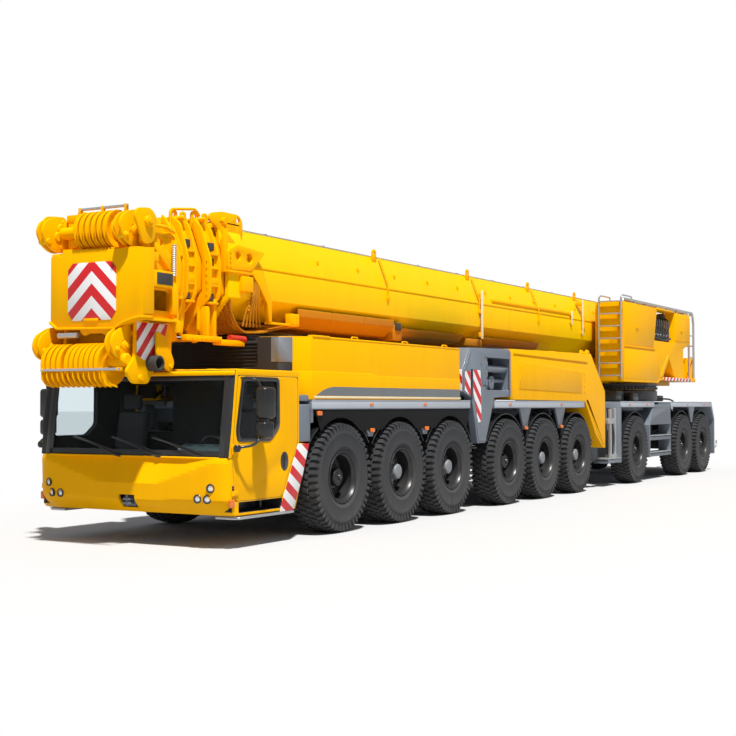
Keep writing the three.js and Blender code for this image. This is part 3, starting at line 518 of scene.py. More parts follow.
# ---- Carrier frame ----
# A welded box frame in grey chassis paint with the round pedestal of the slewing ring, cross
# members, the outriggers' hinge lugs and the towing hook at the rear.
grey_paint = dusted("grey_paint", (0.15, 0.178, 0.22), 0.42, amount=0.16, grain=50, relief=0.0006,
    coat=0.15)
light_grey = dusted("light_grey_paint", (0.42, 0.46, 0.52), 0.42, amount=0.14, grain=50, relief=0.0006,
    coat=0.15)
black_plastic = dusted("black_plastic", (0.012, 0.0125, 0.014), 0.3, amount=0.08, grain=120, relief=0.0002,
    coat=0.2)
galvanised = dusted("galvanised_steel", (0.56, 0.58, 0.6), 0.42, amount=0.15, grain=35, relief=0.0005,
    metallic=0.75)


def plate(name, points, axis, start, end, width=0.006, segments=2):
    """An outline cut from plate: drawn, filled, extruded along an axis, with rounded edges."""
    place = {"X": lambda a, b: (start, a, b), "Y": lambda a, b: (a, start, b),
        "Z": lambda a, b: (a, b, start)}
    step = [0, 0, 0]
    step["XYZ".index(axis)] = end - start
    solid = trace(name, [place[axis](a, b) for a, b in points], closed=True)
    focus(solid, "EDIT")
    bpy.ops.mesh.extrude_region_move(TRANSFORM_OT_translate={"value": step})
    bpy.ops.mesh.select_all(action="SELECT")
    bpy.ops.mesh.normals_make_consistent(inside=False)
    bpy.ops.object.mode_set(mode="OBJECT")
    if width:
        soften(solid, width, segments)
    return solid


def pipe(name, points, radius, bend=0.0, sides=3):
    """A round tube along a path whose corners are bent to a radius."""
    wire = trace(name, points)
    if bend:
        focus(wire, "EDIT")
        bpy.ops.mesh.bevel(offset=bend, affect="VERTICES", segments=4, clamp_overlap=True)
        bpy.ops.object.mode_set(mode="OBJECT")
    focus(wire)
    bpy.ops.object.convert(target="CURVE")
    wire = bpy.context.object
    wire.data.bevel_depth = radius
    wire.data.bevel_resolution = sides
    wire.data.use_fill_caps = True
    bpy.ops.object.convert(target="MESH")
    bpy.ops.object.shade_smooth_by_angle(angle=math.radians(40))
    return bpy.context.object


def as_side(obj, sign):
    """The left-hand piece itself, or its mirror image in its place on the right."""
    if sign > 0:
        return obj
    other = copy_to(obj, Matrix.Identity(4), True)
    bpy.data.objects.remove(obj)
    return other


def both_sides(*parts):
    """Left-hand parts and their mirror images as one mesh."""
    whole = join_up(*parts)
    return join_up(whole, copy_to(whole, Matrix.Identity(4), True))


def drum(name, centre, axis, radius, length, edge=0.008, steps=32):
    """A turned disc or pin with chamfered ends, centred on a point."""
    half = length / 2
    profile = [(0, -half), (radius - edge, -half), (radius, -half + edge), (radius, half - edge),
        (radius - edge, half), (0, half)]
    return turned(name, profile, centre, axis, steps)


def bolts(points, axis, size=0.014, high=0.012):
    """Hexagon bolt heads on a face, one at each point."""
    turn = {"X": (0, math.pi / 2, 0), "Y": (math.pi / 2, 0, 0), "Z": (0, 0, 0)}[axis]
    heads = []
    for point in points:
        deselect()
        bpy.ops.mesh.primitive_cylinder_add(vertices=6, radius=size, depth=high, location=point,
            rotation=turn)
        bpy.ops.object.transform_apply(location=True, rotation=True, scale=True)
        heads.append(bpy.context.object)
    return join_up(*heads)


dress("chassis_frame", (0.01,), "box_frame", "carrier", "grey_paint", grey_paint)

# Cross ribs, side pipes and the bolts round the pedestal.
ribs = []
for x in [-2.6, -4.4, -6.3, -8.0, -10.9, -11.7, -13.3, -14.7, -17.0]:
    ribs.append(plate("rib", [(0.42, 1.02), (0.56, 1.1), (0.56, 1.46), (0.42, 1.54)], "X", x - 0.012,
        x + 0.012, 0.003))
ribs.append(pipe("brake_line", [(0.7, 0.455, 1.42), (-18.7, 0.455, 1.42)], 0.016))
ribs.append(pipe("return_line", [(0.7, 0.455, 1.36), (-18.7, 0.455, 1.36)], 0.022))
ribs.append(pipe("cable_duct", [(0.6, 0.47, 1.24), (-18.5, 0.47, 1.24)], 0.035))
settle(both_sides(*ribs), "frame_ribs_and_lines", "carrier", "dark_steel", chassis_black)

slew_x = -14.0
slew_centre = (slew_x, 0, 0)
ring_bolts = []
for k in range(48):
    angle = 2 * math.pi * k / 48
    ring_bolts.append((slew_x + 1.3 * math.cos(angle), 1.3 * math.sin(angle), 1.995))
ring_flange = turned("ring_flange", [(1.24, 1.955), (1.385, 1.955), (1.395, 1.965), (1.395, 1.985),
    (1.385, 1.995), (1.24, 1.995), (1.24, 1.955)], slew_centre, "Z", 72)
settle(join_up(ring_flange, bolts(ring_bolts, "Z", 0.02, 0.03)), "pedestal_flange", "carrier",
    "dark_steel", chassis_black)

# ---- Decks and mudguards ----
# Folded and welded decks with a tread-plate top and a light painted edge, on brackets between the
# wheels, with drop panels, boarding steps, side lamps and reflectors.
amber = dusted("amber_lens", (0.75, 0.16, 0.004), 0.18, amount=0.05, grain=200, relief=0.0003, coat=0.6)
dress("deck_mudguards", (0.006,), "deck_plates", "carrier", "grey_paint", grey_paint)

deck_spans = [(0.74, -4.0), (-4.96, -9.22), (-11.4, -13.74), (-15.02, -18.62)]
edge_parts = []
for front, rear in deck_spans:
    edge_parts.append(block((rear, 1.498, 1.662), (front, 1.507, 1.768), 0.003))
    edge_parts.append(block((rear, 1.495, 1.765), (front, 1.512, 1.782), 0.004))
settle(both_sides(*edge_parts), "deck_edge_strips", "carrier", "grey_paint", light_grey)

# Dark inner arches over the tyres hang below the decks. Each is drawn out lengthways to clear its
# tyre at full steering lock, most on the axles that steer furthest.
arch_parts = []
arch_end, arch_height, arch_inner = 0.79, 0.825, 0.985
arch_half_lengths = (0.94, 0.925, 0.905, 0.88, 0.86, 0.84, 0.84, 0.89, 0.91)
for x, half_length in zip(axle_places, arch_half_lengths):
    end_angle = math.acos(arch_end / half_length)
    arch = []
    for k in range(11):
        angle = end_angle + (math.pi - 2 * end_angle) * k / 10
        arch.append((half_length * math.cos(angle), arch_height * math.sin(angle)))
    inner_arch = [(px * arch_inner, pz * arch_inner) for px, pz in reversed(arch)]
    outline = [(x + px, wheel_radius + pz) for px, pz in arch + inner_arch]
    arch_parts.append(plate("arch", outline, "Y", 1.06, 1.475, 0.0))
settle(both_sides(*arch_parts), "mudguard_arches", "carrier", "dark_trim", black_plastic)

# Side marker lamps, and galvanised treads on the boarding steps.
lamp_parts = []
for x in [-0.8, -2.42, -5.6, -8.0, -12.0, -13.2, -16.4, -17.9]:
    lamp_parts.append(block((x - 0.045, 1.5, 1.7), (x + 0.045, 1.52, 1.735), 0.006))
settle(both_sides(*lamp_parts), "side_marker_lamps", "carrier", "glass", amber)
step_parts = []
for x0, x1, z in [(-11.48, -10.62, 0.578), (-15.06, -13.44, 0.618), (-15.06, -13.44, 0.998)]:
    step_parts.append(block((x0, 1.19, z - 0.004), (x1, 1.497, z + 0.012), 0.004))
    for k in range(int((x1 - x0) / 0.06)):
        x = x0 + 0.04 + 0.06 * k
        step_parts.append(block((x, 1.2, z + 0.01), (x + 0.02, 1.49, z + 0.018), 0.0))
settle(both_sides(*step_parts), "boarding_step_treads", "carrier", "chrome", galvanised)

# ---- Rear lamps ----
# Moulded lens blocks screwed to the rear bumper: a red tail and stop lamp each side, with an amber
# turn lamp outside it.
tail_red = dusted("tail_lens", (0.45, 0.01, 0.008), 0.2, amount=0.05, grain=200, relief=0.0003, coat=0.6)
settle(both_sides(block((-19.072, 0.86, 0.64), (-19.045, 1.04, 0.76), 0.012, 3)), "tail_lamps", "carrier",
    "glass", tail_red)
settle(both_sides(block((-19.072, 1.06, 0.64), (-19.045, 1.19, 0.76), 0.012, 3)), "rear_turn_lamps",
    "carrier", "glass", amber)

# ---- Driver's cab ----
# A pressed and welded steel cab in yellow paint: a folded front panel with a raised crease, broad
# rounded corners, a visor edge under the roof and dark covers over the screen pillars.
yellow_paint = dusted("yellow_paint", (0.95, 0.462, 0.0), 0.36, amount=0.015, grain=25, relief=0.0004,
    coat=0.0, dust_colour=(0.42, 0.3, 0.06), specular=0.05)
shade_black = dusted("pillar_black", (0.018, 0.019, 0.021), 0.3, amount=0.06, grain=90, relief=0.0003,
    coat=0.3)
chrome = dusted("chrome", (0.75, 0.76, 0.78), 0.16, amount=0.05, grain=60, relief=0.0002, metallic=1.0)
lamp_glass, tree, shader = node_material("lamp_glass")
flutes = put(tree, "TexWave", put(tree, "TexCoord").outputs["Object"], Scale=60.0, bands_direction="Y")
give(shader, Base_Color=(0.85, 0.87, 0.88, 1), Roughness=0.08, Metallic=0.55, Coat_Weight=0.8,
    Normal=put(tree, "Bump", Strength=0.3, Distance=0.003, Height=flutes.outputs["Fac"]))


def tinted_glass(name, colour):
    """Clear glass with a tint and a faint film of dust."""
    material, tree, shader = node_material(name)
    film = put(tree, "TexNoise", Vector=put(tree, "TexCoord").outputs["Object"], Scale=3.0, Detail=4.0)
    give(shader, Base_Color=(*colour, 1), Roughness=put(tree, "MapRange", film, To_Min=0.0, To_Max=0.06),
        Transmission_Weight=1.0, IOR=1.1, Specular_IOR_Level=0.5)
    return material


screen_glass = tinted_glass("screen_glass", (0.84, 0.9, 0.92))


def cut_out(obj, *tools):
    """Removes the tools' shapes from a piece."""
    for tool in tools:
        apply(obj, "BOOLEAN", operation="DIFFERENCE", solver="EXACT", object=tool)
        bpy.data.objects.remove(tool)
    return obj


cab_body = copy_of("cab_shell", 0.0)
front_cut = block((2.47, -1.7, 0.2), (2.9, 1.7, 1.085))
cut_out(cab_body, front_cut)
soften(cab_body, 0.01)
lining_grey = dusted("cab_lining", (0.016, 0.017, 0.019), 0.8, amount=0.05, grain=300, relief=0.001)


def line_inside(obj, low, high):
    """Gives the faces whose middles lie inside a box the cab's dark lining."""
    for face in obj.data.polygons:
        if all(low[k] < face.center[k] < high[k] for k in range(3)):
            face.material_index = 1


settle(cab_body, "cab_body", "carrier", "yellow_paint", yellow_paint, lining_grey, replaces=["cab_shell"])
line_inside(cab_body, (front_axle + 1.085, -1.452, 0.655), (front_axle + 2.53, 1.452, 2.083))
line_inside(cab_body, (front_axle + 1.4, -1.47, 0.42), (front_axle + 2.37, 1.47, 0.565))

# The front panel is folded from one sheet: a grid shaped row by row, then given its thickness.
panel_rows = 22
panel_half_width = 1.5
deselect()
bpy.ops.mesh.primitive_grid_add(x_subdivisions=60, y_subdivisions=panel_rows, size=2, location=(0, 0, 0))
front_panel = bpy.context.object
crease_middle, crease_end = 0.76, 1.03
panel_top, panel_bottom = 1.085, 0.4


def panel_depth(y, z):
    """How far forward the front panel lies at a width and height."""
    reach = abs(y)
    crease = crease_middle + (crease_end - crease_middle) * min(max((reach - 0.46) / 0.86, 0), 1)
    lower = 0.565 + 0.03 * min(max((reach - 0.5) / 0.4, 0), 1)
    if z > crease:
        x = 2.618 - 0.118 * (z - crease) / (panel_top - crease_middle)
    elif z > lower:
        x = 2.6 + 0.018 * (z - lower) / (crease - lower)
    else:
        x = 2.6 - 0.15 * ((lower - z) / (lower - panel_bottom)) ** 1.3
    if reach > 1.24:
        turn = min((reach - 1.24) / 0.26, 1)
        x -= 0.15 * (1 - math.sqrt(max(1 - turn * turn, 0)))
    return x


even_share = 0.7
rows = [panel_bottom, 0.42, 0.445, 0.475, 0.51, 0.545, 0.565, 0.585, 0.62, 0.66, 0.7, 0.735, 0.76, 0.785,
    0.82, 0.86, 0.9, 0.94, 0.98, 1.02, 1.05, 1.075, panel_top]
for vertex in front_panel.data.vertices:
    share, row = vertex.co.x, round((vertex.co.y + 1) / 2 * panel_rows)
    if abs(share) > even_share:
        y = panel_half_width * math.sin(share * math.pi / 2)
    else:
        y = panel_half_width * share * math.sin(even_share * math.pi / 2) / even_share
    z = rows[row]
    vertex.co = (panel_depth(y, z), y, z)
face_out(front_panel)
apply(front_panel, "SOLIDIFY", thickness=0.035, offset=-1)
face_out(front_panel)
bpy.ops.object.shade_smooth_by_angle(angle=math.radians(8))
coupling_cut = block((2.45, -0.125, 0.455), (2.75, 0.125, 0.615))
cut_out(front_panel, coupling_cut)
settle(front_panel, "cab_front_panel", "carrier", "yellow_paint", yellow_paint)

# Ledge over the panel, the roof's visor and its pressed ribs.
ledge = plate("ledge", [(2.46, -1.42), (2.595, -1.3), (2.6, -0.9), (2.545, -0.4), (2.545, 0.4), (2.6, 0.9),
    (2.595, 1.3), (2.46, 1.42)], "Z", 1.07, 1.092, 0.006)
visor = plate("visor", [(1.05, 2.085), (2.36, 2.085), (2.425, 2.06), (2.43, 2.105), (2.36, 2.142),
    (1.05, 2.142)], "Y", -1.49, 1.49, 0.012, 3)
roof_ribs = [block((1.25, y - 0.05, 2.135), (2.25, y + 0.05, 2.15), 0.006)
    for y in (-1.0, -0.5, 0.0, 0.5, 1.0)]
settle(join_up(ledge, visor, *roof_ribs), "cab_visor_and_ledge", "carrier", "yellow_paint", yellow_paint)

# Dark screen surround and the broad covers over the pillars.
lean = (2.53 - 2.4) / (2.13 - 1.07)


def on_screen(z, out=0.0):
    """How far forward the leaning screen lies at a height."""
    return 2.522 - lean * (z - 1.07) + out


surround = []
for y0, y1, z0, z1 in ((-1.42, 1.42, 1.085, 1.165), (-1.42, 1.42, 2.005, 2.075),
        (-1.42, -1.3, 1.085, 2.075)):
    band = block((0, y0, z0), (0.02, y1, z1))
    for vertex in band.data.vertices:
        vertex.co.x += on_screen(vertex.co.z) - 0.012
    soften(band, 0.003)
    surround.append(band)
for y in (1.4, -1.4):
    outward = 1 if y > 0 else -1
    points = []
    for k in range(9):
        angle = math.radians(90 * k / 8)
        points.append((0.115 * math.sin(angle) - 0.115,
            y + outward * (0.095 - 0.115 + 0.115 * math.cos(angle))))
    outline = [(0.0, y - outward * 0.055)] + [(px, py) for px, py in reversed(points)]
    outline += [(-0.13, y + outward * 0.085), (-0.13, y + outward * 0.02), (-0.03, y - outward * 0.06)]
    pillar = plate("pillar", outline, "Z", 1.085, 2.09, 0.0)
    for vertex in pillar.data.vertices:
        vertex.co.x += on_screen(vertex.co.z, 0.014)
    face_out(pillar)
    soften(pillar, 0.006, 2, 40)
    surround.append(pillar)
settle(join_up(*surround), "screen_pillar_covers", "carrier", "dark_trim", shade_black)

dress("windscreen", (0.0,), "windscreen_glass", "carrier", "glass", screen_glass)

# ---- Wipers, lamps and coupling ----
# Three wipers park along the foot of the screen. Round lamps in black rings sit in the corners of
# the panel, with amber corner lamps outside them and the towing jaw in a recess at the middle.
wiper_parts = []
for y in (-0.2, 0.44, 1.09):
    foot = (on_screen(1.1, 0.03), y, 1.09)
    elbow = (on_screen(1.13, 0.045), y - 0.1, 1.125)
    tip = (on_screen(1.24, 0.03), y - 0.46, 1.245)
    wiper_parts.append(pipe("arm", [foot, elbow, tip], 0.008))
    wiper_parts.append(pipe("arm", [(foot[0] - 0.01, y + 0.05, 1.085), (foot[0] + 0.01, y - 0.03, 1.1)],
        0.018))
    blade = block((0, -0.42, -0.012), (0.014, 0.36, 0.012), 0.003)
    tilt = Matrix.Rotation(math.radians(-14), 4, "X")
    blade.data.transform(Matrix.Translation((on_screen(1.22, 0.012), y - 0.34, 1.215)) @ tilt)
    wiper_parts.append(blade)
settle(join_up(*wiper_parts), "windscreen_wipers", "carrier", "dark_trim", black_plastic)

lamp_rings, lamp_lenses = [], []
for y, z in ((1.285, 0.73), (1.09, 0.6), (1.235, 0.6)):
    x = panel_depth(y, z)
    for outward in (1, -1):
        slope = Matrix.Rotation(outward * math.radians(18 if y > 1.2 else 5), 4, "Z")
        ring = turned("ring", [(0.036, -0.02), (0.052, -0.02), (0.055, 0.006), (0.05, 0.012), (0.04, 0.01),
            (0.036, -0.004), (0.036, -0.02)], (0, 0, 0), "X", 28)
        ring.data.transform(Matrix.Translation((x, outward * y, z)) @ slope)
        lamp_rings.append(ring)
        lens = turned("lens", [(0, -0.015), (0.038, -0.015), (0.039, -0.002), (0.03, 0.003),
            (0.015, 0.006), (0, 0.0075)], (0, 0, 0), "X", 28)
        lens.data.transform(Matrix.Translation((x, outward * y, z)) @ slope)
        lamp_lenses.append(lens)
settle(join_up(*lamp_rings), "lamp_rings", "carrier", "dark_trim", shade_black)
settle(join_up(*lamp_lenses), "headlamps", "carrier", "chrome", lamp_glass)

settle(both_sides(block((2.44, 1.47, 0.5), (2.51, 1.525, 0.6), 0.014, 3)), "corner_indicators", "carrier",
    "glass", amber)

settle(block((2.46, -0.12, 0.46), (2.5, 0.12, 0.61), 0.004), "coupling_recess", "carrier", "dark_steel",
    chassis_black)
jaw_parts = [
    block((2.49, -0.055, 0.545), (2.61, 0.055, 0.575), 0.006),
    block((2.49, -0.055, 0.495), (2.61, 0.055, 0.525), 0.006),
    drum("pin", (2.585, 0, 0.54), "Z", 0.016, 0.14, 0.004, 20),
    block((2.49, -0.075, 0.475), (2.515, 0.075, 0.595), 0.006),
]
settle(join_up(*jaw_parts), "towing_jaw", "carrier", "grey_paint", grey_paint)

# ---- Doors ----
# Steel doors with a bonded black-framed window, a recessed black handle and a rubber seal line. The
# mirrors and their arms are carried on the doors' front edge and swing with them.
door_line = [(1.075, 2.06), (1.075, 1.235), (1.425, 0.575), (2.4, 0.575), (2.47, 1.08), (2.35, 2.06)]
window_line = [(1.53, 2.01), (1.53, 1.45), (1.715, 1.305), (2.325, 1.305), (2.352, 1.42), (2.243, 2.01)]


def grown(points, by):
    """A side outline moved outwards from its middle by a distance."""
    cx = sum(p[0] for p in points) / len(points)
    cz = sum(p[1] for p in points) / len(points)
    out = []
    for x, z in points:
        length = math.hypot(x - cx, z - cz)
        out.append((x + (x - cx) / length * by, z + (z - cz) / length * by))
    return out


def rounded(points, radius, steps=4):
    """An outline with its corners rounded to a radius."""
    out = []
    for i, p in enumerate(points):
        before, after = points[i - 1], points[(i + 1) % len(points)]
        a = Vector(before) - Vector(p)
        b = Vector(after) - Vector(p)
        reach = min(radius, a.length * 0.45, b.length * 0.45)
        start = Vector(p) + a.normalized() * reach
        end = Vector(p) + b.normalized() * reach
        for k in range(steps + 1):
            t = k / steps
            out.append(tuple((1 - t) ** 2 * start + 2 * t * (1 - t) * Vector(p) + t * t * end))
    return out


for side, sign in sides.items():
    body = f"door_{side}"
    panel = plate("door", rounded(door_line, 0.05), "Y", 1.442, 1.5, 0.0)
    hole = plate("hole", rounded(window_line, 0.05), "Y", 1.4, 1.54, 0.0)
    cut_out(panel, hole, drum("hole", (1.37, 1.51, 1.01), "Y", 0.085, 0.05, 0.001, 24))
    soften(panel, 0.007, 3, 40)
    hinges = []
    for z in (0.64, 1.13):
        hinges.append(block((2.36, 1.498, z), (2.478, 1.518, z + 0.058), 0.005))
        hinges.append(drum("hinge", (2.473, 1.515, z + 0.029), "Z", 0.014, 0.058, 0.002, 16))
    panel = join_up(panel, *hinges)
    frame_ring = plate("ring", rounded(grown(window_line, 0.055), 0.07), "Y", 1.497, 1.509, 0.0)
    cut_out(frame_ring, plate("hole", rounded(grown(window_line, -0.012), 0.05), "Y", 1.4, 1.6, 0.0))
    soften(frame_ring, 0.003, 2, 40)
    oval = [(1.37 + 0.085 * math.cos(k * math.pi / 12), 1.01 + 0.118 * math.sin(k * math.pi / 12))
        for k in range(24)]
    handle = [
        plate("cup", oval, "Y", 1.49, 1.505, 0.004, 2),
        block((1.355, 1.5, 0.93), (1.385, 1.516, 1.09), 0.007, 3)
    ]
    pane = plate("pane", rounded(grown(window_line, 0.02), 0.06), "Y", 1.478, 1.486, 0.0)
    sill = block((1.52, 1.45, 1.285), (2.34, 1.49, 1.31), 0.004)
    seal = [pipe("seal", [(x, 1.497, z) for x, z in grown(door_line, 0.004)]
        + [(door_line[0][0] - 0.003, 1.497, 2.063)], 0.004, 0.0, 1)]
    groups = {"shell": ([panel], "yellow_paint", yellow_paint),
        "window_frame": ([frame_ring, sill] + handle + seal, "dark_trim", shade_black),
        "glass": ([pane], "glass", screen_glass)}
    # The mirrors are two rounded housings on a bent arm, with their glass facing back.
    arm = pipe("arm", [(2.44, 1.5, 1.215), (2.47, 1.585, 1.21), (2.33, 1.7, 1.235), (2.21, 1.715, 1.3),
        (2.2, 1.715, 1.42)], 0.017, 0.05)
    knob = turned("knob", [(0, -0.045), (0.03, -0.04), (0.045, -0.015), (0.045, 0.015), (0.03, 0.04),
        (0, 0.045)], (2.46, 1.565, 1.2), "Z", 20)
    upper_arm = pipe("arm", [(2.3, 1.5, 2.035), (2.26, 1.66, 2.03), (2.22, 1.715, 1.98),
        (2.2, 1.715, 1.9)], 0.011, 0.04)
    housing = block((2.055, 1.64, 1.545), (2.25, 1.85, 1.925), 0.0)
    lower = block((2.075, 1.645, 1.315), (2.25, 1.845, 1.52), 0.0)
    mirror_y = 1.745
    for shell in (housing, lower):
        for vertex in shell.data.vertices:
            if vertex.co.x > 2.2:
                vertex.co.y = mirror_y + (vertex.co.y - mirror_y) * 0.72
        soften(shell, 0.045, 5, 30)
    bridge = block((2.14, 1.69, 1.5), (2.2, 1.8, 1.56), 0.01)
    groups["mirror_housings"] = ([arm, knob, upper_arm, housing, lower, bridge], "dark_trim", black_plastic)
    glass_parts = [
        block((2.05, 1.665, 1.575), (2.057, 1.825, 1.895), 0.002),
        block((2.07, 1.67, 1.34), (2.077, 1.82, 1.495), 0.002)
    ]
    groups["mirror_glass"] = (glass_parts, "chrome", chrome)
    for label, (parts, slot, material) in groups.items():
        whole = as_side(join_up(*parts), sign)
        settle(whole, f"door_{label}_{side}", body, slot, material,
            replaces=[f"cab_door_{side}"] if label == "shell" else [])
        if label == "shell":
            whole.data.materials.append(lining_grey)
            line_inside(whole, (front_axle + 1, -1.4435, 0.5), (front_axle + 2.6, 1.4435, 2.1))
            line_inside(whole, (front_axle + 1.5, -1.4985, 1.28), (front_axle + 2.37, 1.4985, 2.03))

# ---- Steps and striped panels beside the cab ----
# A galvanised step hangs below each door in a black well, and a slanted panel with retroreflecting
# red and white bands closes the gap to the first wheel.
def striped(name, along, across, period, angle, chevron=None, phase=0.0):
    """Red and white reflecting sheet: slanted bands by Object coordinates, or chevrons about a middle."""
    material, tree, shader = node_material(name)
    split = put(tree, "SeparateXYZ", put(tree, "TexCoord").outputs["Object"]).outputs
    first = split[along]
    if chevron is not None:
        first = put(tree, "Math", put(tree, "Math", first, chevron, operation="SUBTRACT"),
            operation="ABSOLUTE")
    slope = put(tree, "Math", first, angle, phase, operation="MULTIPLY_ADD")
    total = put(tree, "Math", slope, split[across], operation="ADD")
    wrapped = put(tree, "Math", put(tree, "Math", total, period, operation="DIVIDE"), operation="FRACT")
    above = put(tree, "Math", wrapped, 0.5, operation="GREATER_THAN")
    bands = put(tree, "Mix", above, data_type="RGBA", A=(0.62, 0.01, 0.016, 1), B=(0.82, 0.83, 0.84, 1))
    under_dust(shader, Colour=bands.outputs["Result"], Amount=0.1, Roughness=0.35, Grain=300, Relief=0.0004)
    return material


flap_stripes = striped("flap_stripes", "X", "Z", 0.27, -0.7)
flap = plate("flap", [(1.17, 0.385), (1.47, 0.385), (1.41, 0.53), (1.075, 1.2), (1.07, 1.215),
    (0.8, 1.215), (0.96, 0.8)], "Y", 1.492, 1.503, 0.003)
settle(both_sides(flap), "cab_side_stripes", "carrier", "yellow_paint", flap_stripes)

well_parts = [block((1.42, 1.16, 0.43), (2.36, 1.19, 0.56)), block((1.42, 1.18, 0.545), (2.36, 1.44, 0.56))]
settle(both_sides(*well_parts), "step_wells", "carrier", "dark_trim", black_plastic)
board = plate("board", [(1.17, 1.2), (1.17, 1.515), (2.33, 1.515), (2.4, 1.44), (2.4, 1.2)], "Z", 0.352,
    0.382, 0.008)
ridges = [block((x, 1.22, 0.38), (x + 0.02, 1.5, 0.388)) for x in [1.2 + 0.05 * k for k in range(24)]]
stays = [block((x, 1.22, 0.36), (x + 0.03, 1.25, 0.56), 0.004) for x in (1.5, 2.25)]
settle(both_sides(board, *ridges, *stays), "cab_step_boards", "carrier", "chrome", galvanised)

# ---- Cab interior ----
# A grey-green dashboard with an instrument hood, two air-sprung seats in dark cloth and a steering
# wheel with a soft rim, seen through the screen.
dash_grey = dusted("dash_grey", (0.1, 0.16, 0.17), 0.6, amount=0.1, grain=250, relief=0.001)
seat_cloth = dusted("seat_cloth", (0.028, 0.03, 0.034), 0.9, amount=0.15, grain=420, relief=0.004)
dash = plate("dash", [(2.12, 0.93), (2.1, 1.06), (2.16, 1.1), (2.42, 1.085), (2.43, 0.7), (2.33, 0.7)],
    "Y", -1.34, 1.34, 0.012)
hood = plate("hood", [(2.05, 1.07), (2.08, 1.2), (2.16, 1.235), (2.3, 1.19), (2.38, 1.08)], "Y", 0.55,
    1.26, 0.02, 3)
vents = [block((2.2, y, 1.215), (2.27, y + 0.1, 1.222), 0.003) for y in (0.62, 0.84, 1.06)]
settle(join_up(dash, hood), "dashboard", "carrier", "grey_paint", dash_grey, replaces=["cab_interior"])
floor_mat = block((1.44, -1.38, 0.662), (2.4, 1.38, 0.685), 0.004)
wheel_rim = turned("rim", [(0.205, -0.014), (0.222, -0.018), (0.236, 0), (0.222, 0.018), (0.205, 0.014),
    (0.205, -0.014)], (0, 0, 0), "Z", 36)
spokes = [
    block((-0.21, -0.02, -0.008), (0.21, 0.02, 0.008), 0.006),
    block((-0.02, -0.21, -0.008), (0.02, 0.0, 0.008), 0.006),
    drum("boss", (0, 0, 0), "Z", 0.06, 0.04, 0.01, 24)
]
steering = join_up(wheel_rim, *spokes)
steering.data.transform(Matrix.Translation((1.97, 0.9, 1.13)) @ Matrix.Rotation(math.radians(-62), 4, "Y"))
column = pipe("column", [(1.98, 0.9, 1.12), (2.2, 0.9, 1.0)], 0.035)
settle(join_up(floor_mat, steering, column, *vents), "floor_mat_and_steering_wheel", "carrier",
    "dark_trim", black_plastic)
seat_parts = []
for y in (0.9, -0.9):
    seat_parts.append(block((1.5, y - 0.25, 0.86), (1.98, y + 0.25, 0.99), 0.05, 4))
    back = block((1.42, y - 0.24, 0.98), (1.56, y + 0.24, 1.62), 0.05, 4)
    back.data.transform(Matrix.Translation((1.45, 0, 0.99)) @ Matrix.Rotation(math.radians(-9), 4, "Y")
        @ Matrix.Translation((-1.45, 0, -0.99)))
    head = block((1.38, y - 0.14, 1.65), (1.47, y + 0.14, 1.85), 0.035, 4)
    seat_parts += [back, head, block((1.58, y - 0.17, 0.69), (1.9, y + 0.17, 0.86), 0.02, 2)]
settle(join_up(*seat_parts), "seats", "carrier", "dark_trim", seat_cloth)

# ---- Engine cover ----
# Sheet-steel housing over the carrier's engine with rounded edges. Its lower panels stand proud
# below a stepped joint and carry a grey band over a cream line. The engine itself is hidden.
band_grey = dusted("band_grey", (0.15, 0.165, 0.172), 0.38, amount=0.12, grain=60, relief=0.0003, coat=0.2)
cream = dusted("cream_strip", (0.8, 0.72, 0.5), 0.35, amount=0.12, grain=60, relief=0.0003, coat=0.2)
dress("engine_cover", (0.022, 3), "engine_housing", "carrier", "yellow_paint", yellow_paint)

lower_line = [(0.762, 1.785), (-3.615, 1.785), (-3.615, 2.118), (-0.95, 2.118), (-0.81, 2.15),
    (0.762, 2.15)]
cover_parts = [
    plate("lower", lower_line, "Y", 1.49, 1.514, 0.008, 3),
    plate("corner", [(0.745, 1.49), (0.762, 1.514), (1.016, 1.165), (0.99, 1.16)], "Z", 1.785, 2.15, 0.006),
    plate("lip", [(0.7, 2.585), (-3.6, 2.585), (-3.6, 2.612), (0.7, 2.612)], "Y", 1.4, 1.506, 0.008),
    block((0.3, 1.42, 2.595), (0.72, 1.512, 2.622), 0.008)
]
for x in (-1.25, -2.45):
    cover_parts.append(block((x - 0.002, 1.498, 2.16), (x + 0.002, 1.5035, 2.585)))
for x in (-0.35, -1.8, -3.1):
    cover_parts.append(pipe("grip", [(x, 1.45, 2.6), (x, 1.45, 2.64), (x - 0.16, 1.45, 2.64),
        (x - 0.16, 1.45, 2.6)], 0.01, 0.02, 2))
for z in (1.95, 2.05, 2.22, 2.42):
    cover_parts.append(drum("hinge", (-3.625, 1.47, z), "Z", 0.018, 0.07, 0.004, 14))
settle(both_sides(*cover_parts), "engine_housing_panels", "carrier", "yellow_paint", yellow_paint)
band_line = [(0.66, 1.832), (-3.6, 1.832), (-3.6, 1.952), (0.24, 1.952), (0.36, 1.935), (0.5, 1.9)]
settle(both_sides(plate("band", band_line, "Y", 1.512, 1.518, 0.001, 1)), "side_band", "carrier",
    "grey_paint", band_grey)
line = both_sides(block((-3.62, 1.512, 1.8), (0.7, 1.522, 1.827), 0.003))
settle(line, "side_cream_line", "carrier", "grey_paint", cream)

